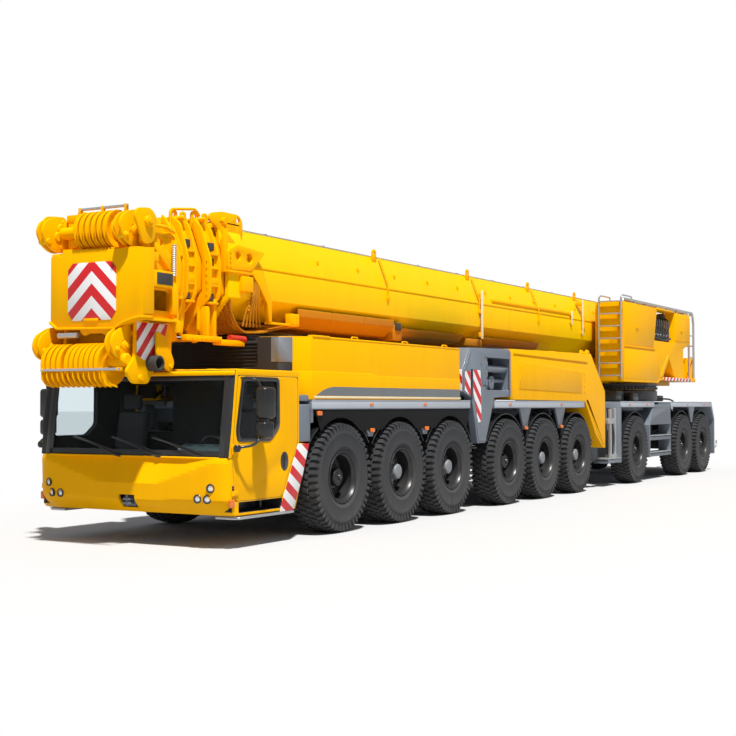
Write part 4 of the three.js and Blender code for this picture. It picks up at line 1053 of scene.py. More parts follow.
# Radiator pack, air intakes, tanks and hoses in the open space behind the cab.
mesh_grey = dusted("radiator_grey", (0.022, 0.023, 0.026), 0.6, amount=0.3, grain=70, relief=0.003,
    specular=0.2)
pack_parts = [plate("pack", [(0.19, 1.8), (0.985, 1.8), (0.985, 2.16), (0.9, 2.6), (0.19, 2.62)], "Y",
    -0.8, 0.84, 0.01)]
for k in range(15):
    z = 1.86 + 0.047 * k
    x = 0.99 if z < 2.15 else 0.99 - (z - 2.15) * 0.19
    pack_parts.append(block((x - 0.01, -0.74, z), (x + 0.016, 0.78, z + 0.016), 0.003))
for k in range(26):
    x = 0.24 + 0.027 * k
    pack_parts.append(block((x, -0.7, 2.615), (x + 0.012, 0.74, 2.632)))
for k in range(9):
    z = 1.92 + 0.07 * k
    pack_parts.append(block((0.25, 0.835, z), (0.86, 0.852, z + 0.02), 0.003))
settle(join_up(*pack_parts), "radiator_pack", "carrier", "dark_steel", mesh_grey)
engine = copy_of("carrier_engine", 0.03)
engine_parts = [engine] + [block((x, -0.5, 1.95), (x + 0.1, 0.5, 2.5), 0.02) for x in (-2.1, -1.6, -1.1)]
engine_parts.append(pipe("exhaust", [(-2.2, -0.42, 2.1), (-3.1, -0.42, 2.1), (-3.1, -0.9, 2.1)], 0.09,
    0.12))
settle(join_up(*engine_parts), "engine_block", "carrier", "dark_steel", chassis_black,
    replaces=["carrier_engine"])
# Dark covers and a grey heat shield close the front of the cover beside the radiator.
dark_line = [(1.0192, 1.1), (1.026, 1.1), (1.026, 1.168), (0.918, 1.3164), (0.913, 1.3129), (1.0192, 1.164)]
front_shields = both_sides(
    block((1.018, 0.84, 1.8), (1.025, 1.165, 2.594), 0.002),
    plate("lower", dark_line, "Z", 1.8, 2.262, 0.001, 1)
)
settle(front_shields, "cover_front_panels", "carrier", "dark_steel", mesh_grey)
heat_line = [(1.0262, 1.06), (1.03, 1.06), (1.03, 1.17), (0.92, 1.32), (0.915, 1.316), (1.0262, 1.166)]
settle(both_sides(plate("heat", heat_line, "Z", 2.268, 2.588, 0.001, 1)), "cover_heat_shield", "carrier",
    "grey_paint", grey_paint)
bay_parts = [
    block((0.74, 1.05, 1.235), (1.02, 1.485, 1.72), 0.02, 3),
    block((0.72, 1.05, 1.76), (0.99, 1.48, 1.84), 0.01),
    block((0.7, -1.485, 1.24), (1.02, -1.05, 1.72), 0.02, 3),
    drum("can", (0.9, 0.95, 1.2), "Z", 0.09, 0.34, 0.02),
    drum("can", (0.9, -0.95, 1.2), "Z", 0.09, 0.34, 0.02),
    block((0.77, -0.9, 1.66), (1.0, 0.9, 1.76), 0.01),
]
settle(join_up(*bay_parts), "boxes_behind_cab", "carrier", "grey_paint", grey_paint)
hose_parts = []
for k in range(6):
    y = -0.7 + 0.27 * k
    hose_parts.append(pipe("hose", [(1.0, y, 1.7), (1.02, y, 1.95), (0.99, y + 0.12, 2.12),
        (0.93, y + 0.2, 2.3)], 0.018, 0.05, 2))
hose_parts.append(pipe("hose", [(1.02, 1.0, 1.8), (1.02, 0.9, 2.14), (1.02, 0.2, 2.18), (1.0, -0.5, 2.14),
    (1.0, -0.9, 1.8)], 0.022, 0.08, 2))
settle(join_up(*hose_parts), "hoses_behind_cab", "carrier", "dark_trim", black_plastic)

# Dark rubber skirts with arches hang between the first three wheels, with amber lamps on them.
skirt_black = dusted("skirt_black", (0.007, 0.0075, 0.009), 0.6, amount=0.05, grain=60, relief=0.0006,
    specular=0.15)
skirt = plate("skirt", [(0.66, 1.655), (0.5, 1.36), (-3.9, 1.36), (-3.98, 1.655)], "Y", 1.482, 1.492, 0.0)
arches = [drum("arch", (x, 1.487, wheel_radius), "Y", 0.8, 0.06, 0.001, 48) for x in axle_places[:3]]
cut_out(skirt, *arches)
settle(both_sides(skirt), "wheel_skirts", "carrier", "dark_trim", skirt_black)
lamp_parts = []
for x in (-0.825, -2.475, 0.56, -6.3, -8.0):
    z = 1.6 if x > 0 else 1.355 if x > -5 else 1.3
    lamp_parts.append(block((x - 0.055, 1.49, z - 0.03), (x + 0.055, 1.525, z + 0.03), 0.016, 3))
settle(both_sides(*lamp_parts), "amber_side_lamps", "carrier", "glass", amber)

# ---- Front outriggers ----
# Folding box beams in yellow plate with a raised stiffening panel, hinged at their rear on the frame.
# The grey inner head holds the support jack and shows red and white bands to the front.
band_stripes = striped("outrigger_stripes", "Y", "Z", 0.26, 1.25)
board_stripes = striped("board_stripes", "X", "Z", 0.28, -1.0)
for side, sign in sides.items():
    beam_body, head_body, jack_body = (f"outrigger_{part}_{side}" for part in ("beam", "head", "jack"))

    dress(beam_body, (0.012, 3), f"outrigger_box_{side}", beam_body, "yellow_paint", yellow_paint)
    eye_line = [(-9.52, 2.66), (-9.7, 2.6), (-9.72, 2.8), (-9.56, 2.82)]
    panel_line = [(-5.98, 1.99), (-9.1, 1.94), (-9.1, 2.36), (-5.98, 2.5)]
    beam_parts = [
        plate("panel", rounded(panel_line, 0.06), "Y", 1.498, 1.509, 0.004),
        plate("rail", [(-5.72, 2.6), (-9.4, 2.545), (-9.4, 2.575), (-5.72, 2.632)], "Y", 1.495, 1.515,
            0.005),
        plate("rim", [(-5.655, 1.83), (-5.72, 1.83), (-5.72, 2.66), (-5.655, 2.66)], "Y", 1.495, 1.518,
            0.005),
        plate("foot", [(-9.35, 1.8), (-9.42, 1.8), (-10.02, 1.1), (-10.36, 0.88), (-10.39, 0.92),
            (-10.05, 1.17)], "Y", 1.496, 1.51, 0.004),
        *[plate("eye", rounded(eye_line, 0.06), "Y", y, y + 0.03, 0.004) for y in (1.4, 1.28)],
        drum("pin", (-9.64, 1.355, 2.755), "Y", 0.022, 0.2, 0.004, 16),
        drum("cap", (-10.1, 1.215, 2.02), "Z", 0.1, 0.06, 0.01, 28),
        block((-6.06, 1.497, 2.1), (-6.0, 1.516, 2.24), 0.005),
        block((-7.9, 1.0, 2.66), (-7.6, 1.46, 2.715), 0.01),
        bolts([(-9.22, 1.512, 1.98 + 0.12 * k) for k in range(4)], "Y", 0.014, 0.02),
    ]
    beam_extra = as_side(join_up(*beam_parts), sign)
    settle(beam_extra, f"outrigger_box_panels_{side}", beam_body, "yellow_paint", yellow_paint)

    head = copy_of(head_body, 0.01, 3)
    head.data.materials.append(grey_paint)
    head.data.materials.append(band_stripes)
    for face in head.data.polygons:
        centre = face.center
        if face.normal.x > 0.75 and -4.35 < centre.x < -3.6 and 1.9 < centre.z < 2.3:
            face.material_index = 1
    settle(head, f"support_head_{side}", head_body, "grey_paint", replaces=[head_body])
    board_upper = [(-3.77, 1.96), (-3.77, 2.25), (-4.02, 2.26), (-4.02, 1.85)]
    board_lower = [(-4.13, 1.9), (-4.13, 2.28), (-4.4, 2.28), (-4.43, 1.6), (-4.42, 1.43), (-4.28, 1.42),
        (-4.24, 1.68)]
    boards = join_up(*[plate("board", line, "Y", 1.4985, 1.504, 0.001, 1)
        for line in (board_upper, board_lower)])
    settle(as_side(boards, sign), f"support_head_boards_{side}", head_body, "grey_paint", board_stripes)
    strap_line = [(-3.98, 1.86), (-4.0, 1.86), (-4.2, 1.4), (-4.3, 1.1), (-4.26, 1.1), (-4.16, 1.41)]
    dark_parts = join_up(
        block((-3.722, 1.32, 1.9), (-3.7, 1.36, 2.285), 0.006),
        block((-4.11, 1.4985, 1.8), (-4.04, 1.508, 2.29), 0.004),
        plate("strap", strap_line, "Y", 1.36, 1.39, 0.0),
        block((-4.62, 1.16, 1.97), (-4.67, 1.49, 2.49)),
        block((-5.59, 1.165, 1.97), (-4.69, 1.185, 2.49)),
        block((-5.52, 1.06, 2.672), (-4.95, 1.42, 2.682), 0.004)
    )
    settle(as_side(dark_parts, sign), f"support_head_dark_trim_{side}", head_body, "dark_trim",
        black_plastic)
    head_parts = [
        drum("tube", (-5.16, 1.4, 2.32), "X", 0.062, 0.86, 0.01, 28),
        drum("tube", (-5.16, 1.36, 2.12), "X", 0.035, 0.86, 0.006, 20),
        *[drum("knuckle", (-4.62, 1.505, z), "Z", 0.026, 0.09, 0.006, 18) for z in (2.38, 2.22, 2.07)],
        block((-4.63, 1.49, 2.04), (-4.48, 1.512, 2.44), 0.006),
        block((-5.62, 1.498, 1.86), (-5.57, 1.512, 2.63), 0.006),
        block((-5.56, 1.498, 2.5), (-4.6, 1.512, 2.53), 0.005),
        plate("cheek", [(-3.76, 1.95), (-3.76, 2.26), (-4.01, 2.6), (-4.06, 2.6), (-3.8, 2.24),
            (-3.8, 1.96)], "Y", 1.497, 1.51, 0.004),
        plate("shin", [(-4.62, 1.12), (-4.32, 1.12), (-4.22, 1.5), (-4.28, 1.5), (-4.37, 1.16),
            (-4.6, 1.17)], "Y", 1.497, 1.508, 0.004),
        bolts([(-4.42, 1.504, 1.95 + 0.11 * k) for k in range(5)], "Y", 0.012, 0.014),
    ]
    lug = plate("lug", rounded([(-4.98, 1.97), (-5.16, 1.97), (-5.18, 2.2), (-4.96, 2.2)], 0.09, 6), "Y",
        1.36, 1.4, 0.0)
    cut_out(lug, drum("hole", (-5.07, 1.38, 2.11), "Y", 0.04, 0.2, 0.001, 24))
    soften(lug, 0.004)
    head_extra = as_side(join_up(lug, *head_parts), sign)
    settle(head_extra, f"support_head_fittings_{side}", head_body, "grey_paint", grey_paint)

    dress(jack_body, (0.012,), f"support_jack_{side}", jack_body, "chrome", chrome)
    foot_line = [(0, 0.985), (0.15, 0.985), (0.165, 0.995), (0.165, 1.015), (0.145, 1.03), (0.11, 1.05),
        (0.11, 1.055), (0, 1.055)]
    foot = as_side(turned("foot", foot_line, (-4.44, 1.23, 0), "Z", 40), sign)
    settle(foot, f"jack_foot_{side}", jack_body, "dark_steel", chassis_black)

# ---- Slewing superstructure ----
# The welded turning frame with its cheek plates, cylinder bracket and winch, between two machinery
# housings in yellow sheet. Behind the left opening lie the valve blocks and hoses.
dress("superstructure_frame", (0.01,), "turning_frame", "superstructure", "yellow_paint", yellow_paint)
ring_teeth = turned("ring", [(1.3, 2.05), (1.405, 2.05), (1.412, 2.06), (1.412, 2.115), (1.405, 2.125),
    (1.405, 2.14), (1.43, 2.145), (1.43, 2.185), (1.42, 2.195), (1.3, 2.195), (1.3, 2.05)], slew_centre,
    "Z", 96)
tooth = block((slew_x + 1.408, -0.022, 2.062), (slew_x + 1.436, 0.022, 2.118), 0.005)
teeth = ring_of(tooth, 90, slew_centre, "Z")
upper_bolts = [(slew_x + 1.36 * math.cos(2 * math.pi * k / 60), 1.36 * math.sin(2 * math.pi * k / 60),
    2.205) for k in range(60)]
settle(join_up(ring_teeth, teeth, bolts(upper_bolts, "Z", 0.018, 0.025)), "slewing_ring", "superstructure",
    "dark_steel", chassis_black)

housing = copy_of("machinery_housing", 0.0)
cut_out(housing, block((-11.945, 0.7, 2.2), (-11.7, 1.45, 4.2)),
    block((-17.6, 1.325, 2.37), (-17.0, 1.45, 4.1)), block((-17.6, -1.45, 2.37), (-17.0, -1.325, 4.1)))
soften(housing, 0.014, 3)
settle(housing, "machinery_cladding", "superstructure", "yellow_paint", yellow_paint,
    replaces=["machinery_housing"])
clad_parts = [
    plate("step", [(-11.96, 2.98), (-14.12, 2.98), (-14.12, 3.01), (-11.96, 3.01)], "Y", 1.398, 1.418,
        0.006),
    plate("upper", [(-11.955, 3.03), (-14.02, 3.03), (-14.24, 3.93), (-11.955, 3.93)], "Y", 1.398, 1.406,
        0.004),
    plate("lower", [(-11.99, 2.28), (-14.3, 2.28), (-14.55, 2.4), (-14.3, 2.94), (-11.99, 2.94)], "Y",
        1.398, 1.405, 0.004),
    plate("rear", [(-15.74, 3.24), (-16.95, 3.27), (-16.95, 3.91), (-15.74, 3.89)], "Y", 1.398, 1.408,
        0.005),
    plate("brow", [(-14.3, 3.93), (-15.7, 3.93), (-15.7, 3.965), (-14.3, 3.975)], "Y", 1.1, 1.41, 0.006),
    block((-12.9, 1.404, 3.4), (-12.75, 1.43, 3.46), 0.008, 3),
    block((-16.2, 1.404, 3.5), (-16.32, 1.43, 3.56), 0.008, 3),
    bolts([(-12.1 - 0.19 * k, 1.418, 2.995) for k in range(11)], "Y", 0.013, 0.02),
    bolts([(-15.82 - 0.21 * k, 1.412, 3.86) for k in range(6)]
        + [(-15.82 - 0.21 * k, 1.412, 3.3) for k in range(6)], "Y", 0.012, 0.016),
    plate("edge", [(-14.52, 2.36), (-14.74, 2.36), (-15.22, 2.8), (-15.23, 2.9), (-15.15, 2.9)], "Y",
        1.396, 1.412, 0.005),
]
settle(both_sides(*clad_parts), "machinery_cladding_panels", "superstructure", "yellow_paint", yellow_paint)
tail_stripes = striped("tail_stripes", "X", "Z", 0.24, 0.9)
settle(both_sides(block((-17.12, 1.398, 2.285), (-14.78, 1.404, 2.357), 0.002)), "tail_stripes_side",
    "superstructure", "yellow_paint", tail_stripes)
tail_back = striped("tail_back_stripes", "Y", "Z", 0.24, 0.9)
settle(both_sides(block((-17.518, 0.35, 2.3), (-17.509, 1.36, 2.52), 0.002)), "tail_stripes_rear",
    "superstructure", "yellow_paint", tail_back)

# Rails, ladder and hand holds in galvanised tube.
rail_parts = []
for x in (-17.49, -17.07):
    rail_parts.append(pipe("post", [(x, 1.36, 2.35), (x, 1.36, 3.84), (x + 0.1, 1.36, 3.98),
        (x + 0.3, 1.36, 3.98)], 0.028, 0.08))
rail_parts.append(pipe("top", [(-17.45, 1.36, 3.8), (-17.4, 1.36, 4.03), (-17.02, 1.36, 4.03),
    (-12.0, 1.36, 4.03), (-12.0, 1.36, 3.93)], 0.026, 0.08))
rail_parts.append(pipe("line", [(-16.9, 1.3, 4.0), (-12.1, 1.3, 4.0)], 0.022))
rail_parts.append(pipe("line", [(-16.9, 1.22, 3.99), (-12.6, 1.22, 3.99)], 0.022))
for z in (2.9, 3.45):
    rail_parts.append(pipe("mid", [(-17.49, 1.36, z), (-17.07, 1.36, z)], 0.015))
for x in (-12.8, -13.6, -14.4, -15.2, -16.0, -16.7):
    rail_parts.append(block((x - 0.02, 1.18, 3.93), (x + 0.02, 1.385, 4.04), 0.006))
rails = both_sides(*rail_parts)
back_rail = pipe("back", [(-17.49, -1.36, 3.2), (-17.49, 1.36, 3.2)], 0.018)
settle(join_up(rails, back_rail), "tail_rails", "superstructure", "chrome", galvanised)
ladder_parts = []
for y in (0.86, 1.36):
    ladder_parts.append(block((-11.915, y - 0.014, 2.27), (-11.855, y + 0.014, 4.06), 0.008, 3))
    for z in (2.5, 3.3, 3.92):
        ladder_parts.append(block((-11.955, y - 0.012, z), (-11.9, y + 0.012, z + 0.04), 0.004))
for k in range(7):
    z = 2.33 + 0.27 * k
    ladder_parts.append(block((-11.912, 0.86, z), (-11.86, 1.36, z + 0.028), 0.006, 2))
ladder_parts.append(pipe("loop", [(-11.88, 1.36, 3.2), (-11.88, 1.36, 4.06), (-11.98, 1.36, 4.1),
    (-12.6, 1.36, 4.1), (-12.6, 1.36, 3.95)], 0.017, 0.06))
ladder_parts.append(pipe("loop", [(-11.88, 0.86, 4.04), (-11.98, 0.86, 4.1), (-12.6, 0.86, 4.1),
    (-12.6, 0.86, 3.95)], 0.017, 0.04))
settle(join_up(*ladder_parts), "boarding_ladder", "superstructure", "chrome", galvanised)

# Hydraulics behind the openings: valve blocks, an accumulator, pumps and bundles of hose.
inner_parts = [
    block((-15.62, 0.8, 3.22), (-14.3, 1.3, 3.5), 0.02),
    block((-15.3, 0.85, 3.5), (-14.9, 1.25, 3.78), 0.02),
    drum("pump", (-14.62, 1.1, 3.66), "X", 0.13, 0.4, 0.02),
    drum("tank", (-15.5, 1.12, 3.7), "Z", 0.1, 0.42, 0.03),
    block((-13.95, 0.8, 2.3), (-12.05, 1.3, 2.75), 0.03),
    block((-13.4, 0.85, 2.8), (-12.3, 1.28, 3.5), 0.04)
]
for k in range(7):
    x = -14.3 - 0.18 * k
    inner_parts.append(pipe("hose", [(x, 1.3, 3.4), (x, 1.35, 3.52), (x - 0.05, 1.33, 3.72),
        (x - 0.12, 1.15, 3.86)], 0.017, 0.06, 2))
inner_parts.append(pipe("hose", [(-14.25, 1.33, 3.28), (-15.0, 1.36, 3.24), (-15.6, 1.33, 3.3)], 0.022,
    0.1, 2))
inner = both_sides(*inner_parts)
settle(inner, "hydraulic_units", "superstructure", "dark_steel", chassis_black)
fittings = [drum("fitting", (-14.4 - 0.22 * k, 1.31, 3.36), "Y", 0.024, 0.05, 0.005, 14) for k in range(6)]
fittings += [pipe("line", [(-14.3, 1.28, 3.56), (-14.9, 1.3, 3.6), (-15.55, 1.26, 3.58)], 0.01, 0.1, 2)]
settle(both_sides(*fittings), "hydraulic_fittings", "superstructure", "chrome", chrome)

# Hoist winch drum behind the boom foot, wound with wire rope in the grooves of its shell.
rope_steel = dusted("rope_steel", (0.2, 0.2, 0.19), 0.5, amount=0.35, grain=200, relief=0.002, metallic=0.7)
drum_line = [(0.05, -0.6), (0.375, -0.6), (0.385, -0.59), (0.385, -0.57), (0.31, -0.565)]
rope_pitch = 0.0265
for k in range(42):
    y = -0.555 + rope_pitch * k
    drum_line += [(0.302, y), (0.313, y + 0.007), (0.316, y + 0.013), (0.313, y + 0.02)]
drum_line += [(0.31, 0.565), (0.385, 0.57), (0.385, 0.59), (0.375, 0.6), (0.05, 0.6), (0.05, -0.6)]
settle(turned("winch", drum_line, (-17.09, 0, 2.78), "Y", 56), "hoist_winch_drum", "superstructure",
    "dark_steel", rope_steel)

# Hoses, boxes and the cover of the slewing ring on the turntable support.
table_parts = []
for k in range(9):
    x = -12.9 - 0.27 * k
    table_parts.append(pipe("hose", [(x, 0.62, 1.76), (x + 0.03, 1.02, 1.8), (x - 0.05, 1.18, 1.9),
        (x - 0.02, 0.98, 2.02)], 0.02, 0.07, 2))
table_parts.append(turned("cover", [(1.2, 1.8), (1.4, 1.8), (1.425, 1.83), (1.425, 2.02), (1.4, 2.038),
    (1.2, 2.038), (1.2, 1.8)], slew_centre, "Z", 64))
table_parts += [
    block((-15.75, 0.55, 1.79), (-15.05, 1.1, 1.93), 0.02),
    pipe("hose", [(-15.1, 1.1, 1.86), (-15.7, 1.28, 1.84), (-15.9, 1.3, 1.79)], 0.02, 0.1, 2),
    block((-12.55, 0.62, 1.79), (-12.0, 1.2, 2.02), 0.03),
    block((-13.2, 1.05, 1.79), (-12.8, 1.32, 1.97), 0.02)
]
settle(both_sides(*table_parts), "turntable_hoses", "carrier", "dark_trim", black_plastic)
strut_parts = [
    block((-11.02, 1.38, 0.56), (-10.96, 1.44, 1.62), 0.008),
    block((-11.24, 1.4, 0.56), (-11.2, 1.46, 1.64), 0.008),
    block((-11.34, 1.28, 0.58), (-11.05, 1.46, 0.66), 0.01),
    block((-11.3, 1.3, 1.3), (-10.9, 1.42, 1.42), 0.02),
    pipe("hook", [(-18.93, 1.42, 0.6), (-19.3, 1.42, 0.58), (-19.42, 1.42, 0.66), (-19.38, 1.42, 0.76)],
        0.02, 0.05)
]
settle(both_sides(*strut_parts), "side_struts_and_hooks", "carrier", "chrome", galvanised)
line_parts = [pipe("hose", [(-11.08 - 0.04 * k, 1.36, 0.62), (-11.1 - 0.02 * k, 1.4 + 0.01 * k, 1.0),
    (-11.0 - 0.05 * k, 1.38, 1.35), (-11.1 - 0.04 * k, 1.3, 1.64)], 0.015, 0.1, 2) for k in range(5)]
settle(both_sides(*line_parts), "side_hoses", "carrier", "dark_trim", black_plastic)

# ---- Boom base section ----
# The outer box of the telescopic boom, pressed and welded from two half shells, with a deep collar at
# its mouth. Lifting eyes, rope guides and cable trays are welded along it.
# A darker copy of the yellow paint stands for the shade under the boom: painted shade, with dark dust over
# it.
shadow_yellow = dusted("painted_shade_yellow", (0.5, 0.2, 0.006), 0.5, amount=0.4, grain=30, relief=0.001,
    dust_colour=(0.16, 0.1, 0.05), specular=0.15)
# A lighter copy of the yellow paint for the boom's tube: painted light, for the brighter light its side
# catches.
boom_lit_yellow = dusted("boom_lit_yellow", (0.96, 0.6, 0.0), 0.36, amount=0.015, grain=25, relief=0.0004,
    coat=0.0, dust_colour=(0.42, 0.3, 0.06), specular=0.05)
base = copy_of("boom_base", 0.0)
cut_out(base, drum("hole", (1.03, 0.0, 4.155), "Y", 0.036, 1.2, 0.001, 24))
soften(base, 0.016, 3)
settle(base, "boom_base_tube", "boom_base", "yellow_paint", boom_lit_yellow, replaces=["boom_base"])


def eye_plate(x, z0=3.96, z1=4.16, thick=0.012, y=0.45, reach=0.075):
    """A rounded lifting eye with its hole, welded on the boom's upper edge."""
    plate_eye = plate("eye", rounded([(x - reach, z0), (x + reach, z0), (x + reach * 0.75, z1),
        (x - reach * 0.75, z1)], 0.06, 5), "Y", y - thick, y + thick, 0.0)
    cut_out(plate_eye, drum("hole", (x, y, z1 - 0.065), "Y", 0.026, 0.2, 0.001, 20))
    return soften(plate_eye, 0.004)


base_parts = []
for x in (-2.7, -6.09, -8.87, -11.45):
    base_parts.append(eye_plate(x))
    base_parts.append(block((x - 0.05, 0.36, 4.02), (x + 0.05, 0.44, 4.05), 0.008))
    strap = plate("strap", [(0.462, 4.05), (0.478, 4.05), (0.64, 3.6), (0.64, 3.38), (0.622, 3.38),
        (0.622, 3.595)], "X", x - 0.16, x - 0.125, 0.004)
    base_parts.append(strap)
    base_parts.append(block((x - 0.175, 0.615, 3.36), (x - 0.11, 0.65, 3.43), 0.008))
base_parts.append(block((-10.9, 0.575, 3.615), (-6.83, 0.622, 3.668), 0.012))
base_parts.append(block((-14.6, 0.618, 3.532), (0.93, 0.628, 3.552), 0.004))
for x in [-0.9 - 1.15 * k for k in range(12)]:
    base_parts.append(block((x - 0.018, 0.52, 3.74), (x + 0.018, 0.56, 3.8), 0.008))
for x in (-4.8, -7.6, -9.9, -12.9):
    base_parts.append(block((x - 0.006, 0.612, 3.14), (x + 0.006, 0.6235, 3.53), 0.002))

# The mouth's collar has a tall lifting ear, a bracket with two holes on its ledge, and a fin below.
ear = plate("ear", rounded([(1.43, 3.5), (1.43, 4.0), (1.62, 4.09), (1.58, 4.18), (1.34, 4.225),
    (0.98, 4.225), (0.89, 4.15), (0.88, 3.95), (1.12, 3.8)], 0.05), "Y", 0.462, 0.5, 0.0)
cut_out(ear, drum("hole", (0.985, 0.48, 4.145), "Y", 0.04, 0.2, 0.001, 24))
bracket = plate("bracket", rounded([(1.46, 3.45), (1.46, 3.7), (1.26, 3.79), (0.64, 3.745), (0.92, 3.47)],
    0.05), "Y", 0.61, 0.69, 0.0)
cut_out(bracket, drum("hole", (1.24, 0.65, 3.645), "Y", 0.058, 0.3, 0.001, 28),
    drum("hole", (0.99, 0.65, 3.63), "Y", 0.07, 0.3, 0.001, 28))
base_parts += [
    soften(ear, 0.006),
    soften(bracket, 0.006),
    block((0.94, 0.6, 3.415), (1.49, 0.705, 3.447), 0.006),
    plate("web", [(1.42, 3.42), (1.5, 3.42), (1.47, 3.98), (1.42, 3.98)], "Y", 0.585, 0.655, 0.006),
    plate("gusset", [(1.4, 3.52), (1.4, 4.02), (1.14, 3.84)], "Y", 0.5, 0.56, 0.006),
    block((0.96, 0.63, 3.18), (1.19, 0.735, 3.385), 0.016, 3),
    block((0.95, -0.5, 4.065), (1.4, 0.5, 4.1), 0.01),
    plate("fin", [(0.98, 3.5), (0.79, 3.32), (0.56, 3.06), (0.52, 2.8), (0.46, 2.8), (0.46, 3.1),
        (0.66, 3.5)], "Y", 0.618, 0.685, 0.006),
    block((-0.16, 0.6, 2.795), (0.52, 0.685, 2.83), 0.006),
    block((-0.18, 0.6, 2.8), (0.02, 0.705, 2.97), 0.008),
    block((-0.15, 0.7, 2.83), (-0.1, 0.712, 2.94)),
    block((-0.06, 0.7, 2.83), (-0.01, 0.712, 2.94)),
    drum("boss", (1.32, 0.515, 4.1), "Y", 0.05, 0.06, 0.008, 24),
    bolts([(0.985, 0.668, 2.96 + 0.05 * k) for k in range(4)]
        + [(1.42, 0.694, 3.5 + 0.06 * k) for k in range(4)], "Y", 0.012, 0.02),
]
settle(both_sides(*base_parts), "boom_base_fittings", "boom_base", "yellow_paint", yellow_paint)
top_lines = both_sides(
    pipe("line", [(0.9, 0.4, 4.048), (-14.8, 0.4, 4.048)], 0.012),
    pipe("line", [(0.9, 0.36, 4.048), (-14.8, 0.36, 4.048)], 0.009),
    *[block((x, 0.34, 4.03), (x + 0.05, 0.42, 4.068), 0.004) for x in [0.2 - 1.5 * k for k in range(10)]]
)
settle(top_lines, "boom_top_lines", "boom_base", "chrome", galvanised)
post_spans = ((-6.33, 0.07, 0.668, 2.9, 3.78), (-11.48, 0.06, 0.664, 3.21, 3.98),
    (-10.83, 0.06, 0.664, 3.4, 3.7))
posts = [block((x, 0.64, low), (x + thick, y, high), 0.01, 3) for x, thick, y, low, high in post_spans]
settle(both_sides(*posts), "boom_white_posts", "boom_base", "grey_paint", cream)
feet = []
for x, y, low, high in ((-6.36, 0.61, 2.93, 3.02), (-6.36, 0.61, 3.66, 3.74), (-11.51, 0.61, 3.24, 3.31),
        (-11.51, 0.5, 3.86, 3.93), (-10.86, 0.57, 3.43, 3.49), (-10.86, 0.57, 3.6, 3.66)):
    feet.append(block((x, y, low), (x + (0.13 if x > -7 else 0.12), 0.645, high), 0.006))
settle(both_sides(*feet), "post_brackets", "boom_base", "yellow_paint", yellow_paint)

# Cable trays and hoses under the boom, in a darker yellow that paints the shade under the boom, with dark
# dust over it.
small_tray = [(0.5, 2.96), (0.56, 2.95), (0.5, 2.83), (0.36, 2.79), (0.36, 2.83)]
tray_parts = [
    plate("tray", [(0.612, 3.06), (0.64, 3.05), (0.64, 2.945), (0.47, 2.795), (0.36, 2.775), (0.36, 2.8),
        (0.46, 2.82), (0.612, 2.955)], "X", -3.02, -0.27, 0.006),
    *[plate("tray", small_tray, "X", rear, front, 0.006) for rear, front in ((-5.7, -3.45), (-9.2, -6.6))],
    block((-3.36, 0.3, 2.74), (-3.08, 0.6, 3.0), 0.02),
    block((-6.5, 0.3, 2.76), (-5.85, 0.56, 2.9), 0.02),
]
for x in (-1.15, -2.1):
    tray_parts.append(block((x - 0.006, 0.6, 2.93), (x + 0.006, 0.645, 3.055), 0.0))
for k in range(5):
    tray_parts.append(pipe("hose", [(0.95, 0.1 * k + 0.05, 2.8), (0.3, 0.1 * k + 0.05, 2.775),
        (-0.6, 0.08 * k + 0.08, 2.81), (-5.8, 0.08 * k + 0.08, 2.825)], 0.02, 0.2, 2))
settle(both_sides(*tray_parts), "boom_cable_trays", "boom_base", "yellow_paint", shadow_yellow)
# The hose loops at the boom's mouth take the same darker yellow, painted shade.
loop_parts = []
for k in range(13):
    y = 0.64 - 0.045 * k
    drop = 2.655 + 0.01 * (k % 3)
    loop_parts.append(pipe("loop", [(1.38 - 0.03 * (k % 2), y, 3.34 - 0.04 * (k % 4)),
        (1.33, y - 0.02, 2.92), (1.08 + 0.02 * (k % 3), y - 0.03, drop),
        (0.6 - 0.04 * (k % 3), y - 0.03, drop + 0.02), (0.22, y - 0.03, 2.755), (-0.1, y - 0.02, 2.8)],
        0.017, 0.14, 2))
for k in range(6):
    loop_parts.append(pipe("cable", [(0.93 - 0.03 * k, 0.64 + 0.01 * (k % 2), 3.4),
        (0.86 - 0.02 * k, 0.69, 3.22), (1.02 - 0.05 * k, 0.66, 2.98), (1.05 - 0.08 * k, 0.62, 2.74)],
        0.012, 0.08, 2))
settle(both_sides(*loop_parts), "boom_hose_loops", "boom_base", "yellow_paint", shadow_yellow)
dark_fit = both_sides(
    block((1.4, 0.2, 3.0), (1.425, 0.52, 3.42)),
    block((-3.3, 0.52, 2.9), (-3.12, 0.63, 3.02), 0.02),
    block((-3.42, 0.45, 2.8), (-3.2, 0.52, 2.95), 0.02),
    block((-0.55, 0.0, 2.676), (0.6, 0.5, 2.7), 0.006),
    *[pipe("line", [(0.85, 0.09 * k, 2.72), (0.62, 0.09 * k, 2.664), (-0.7, 0.09 * k, 2.664),
        (-1.1, 0.09 * k, 2.74)], 0.016, 0.08, 2) for k in range(1, 6)]
)
settle(dark_fit, "boom_dark_fittings", "boom_base", "dark_steel", chassis_black)

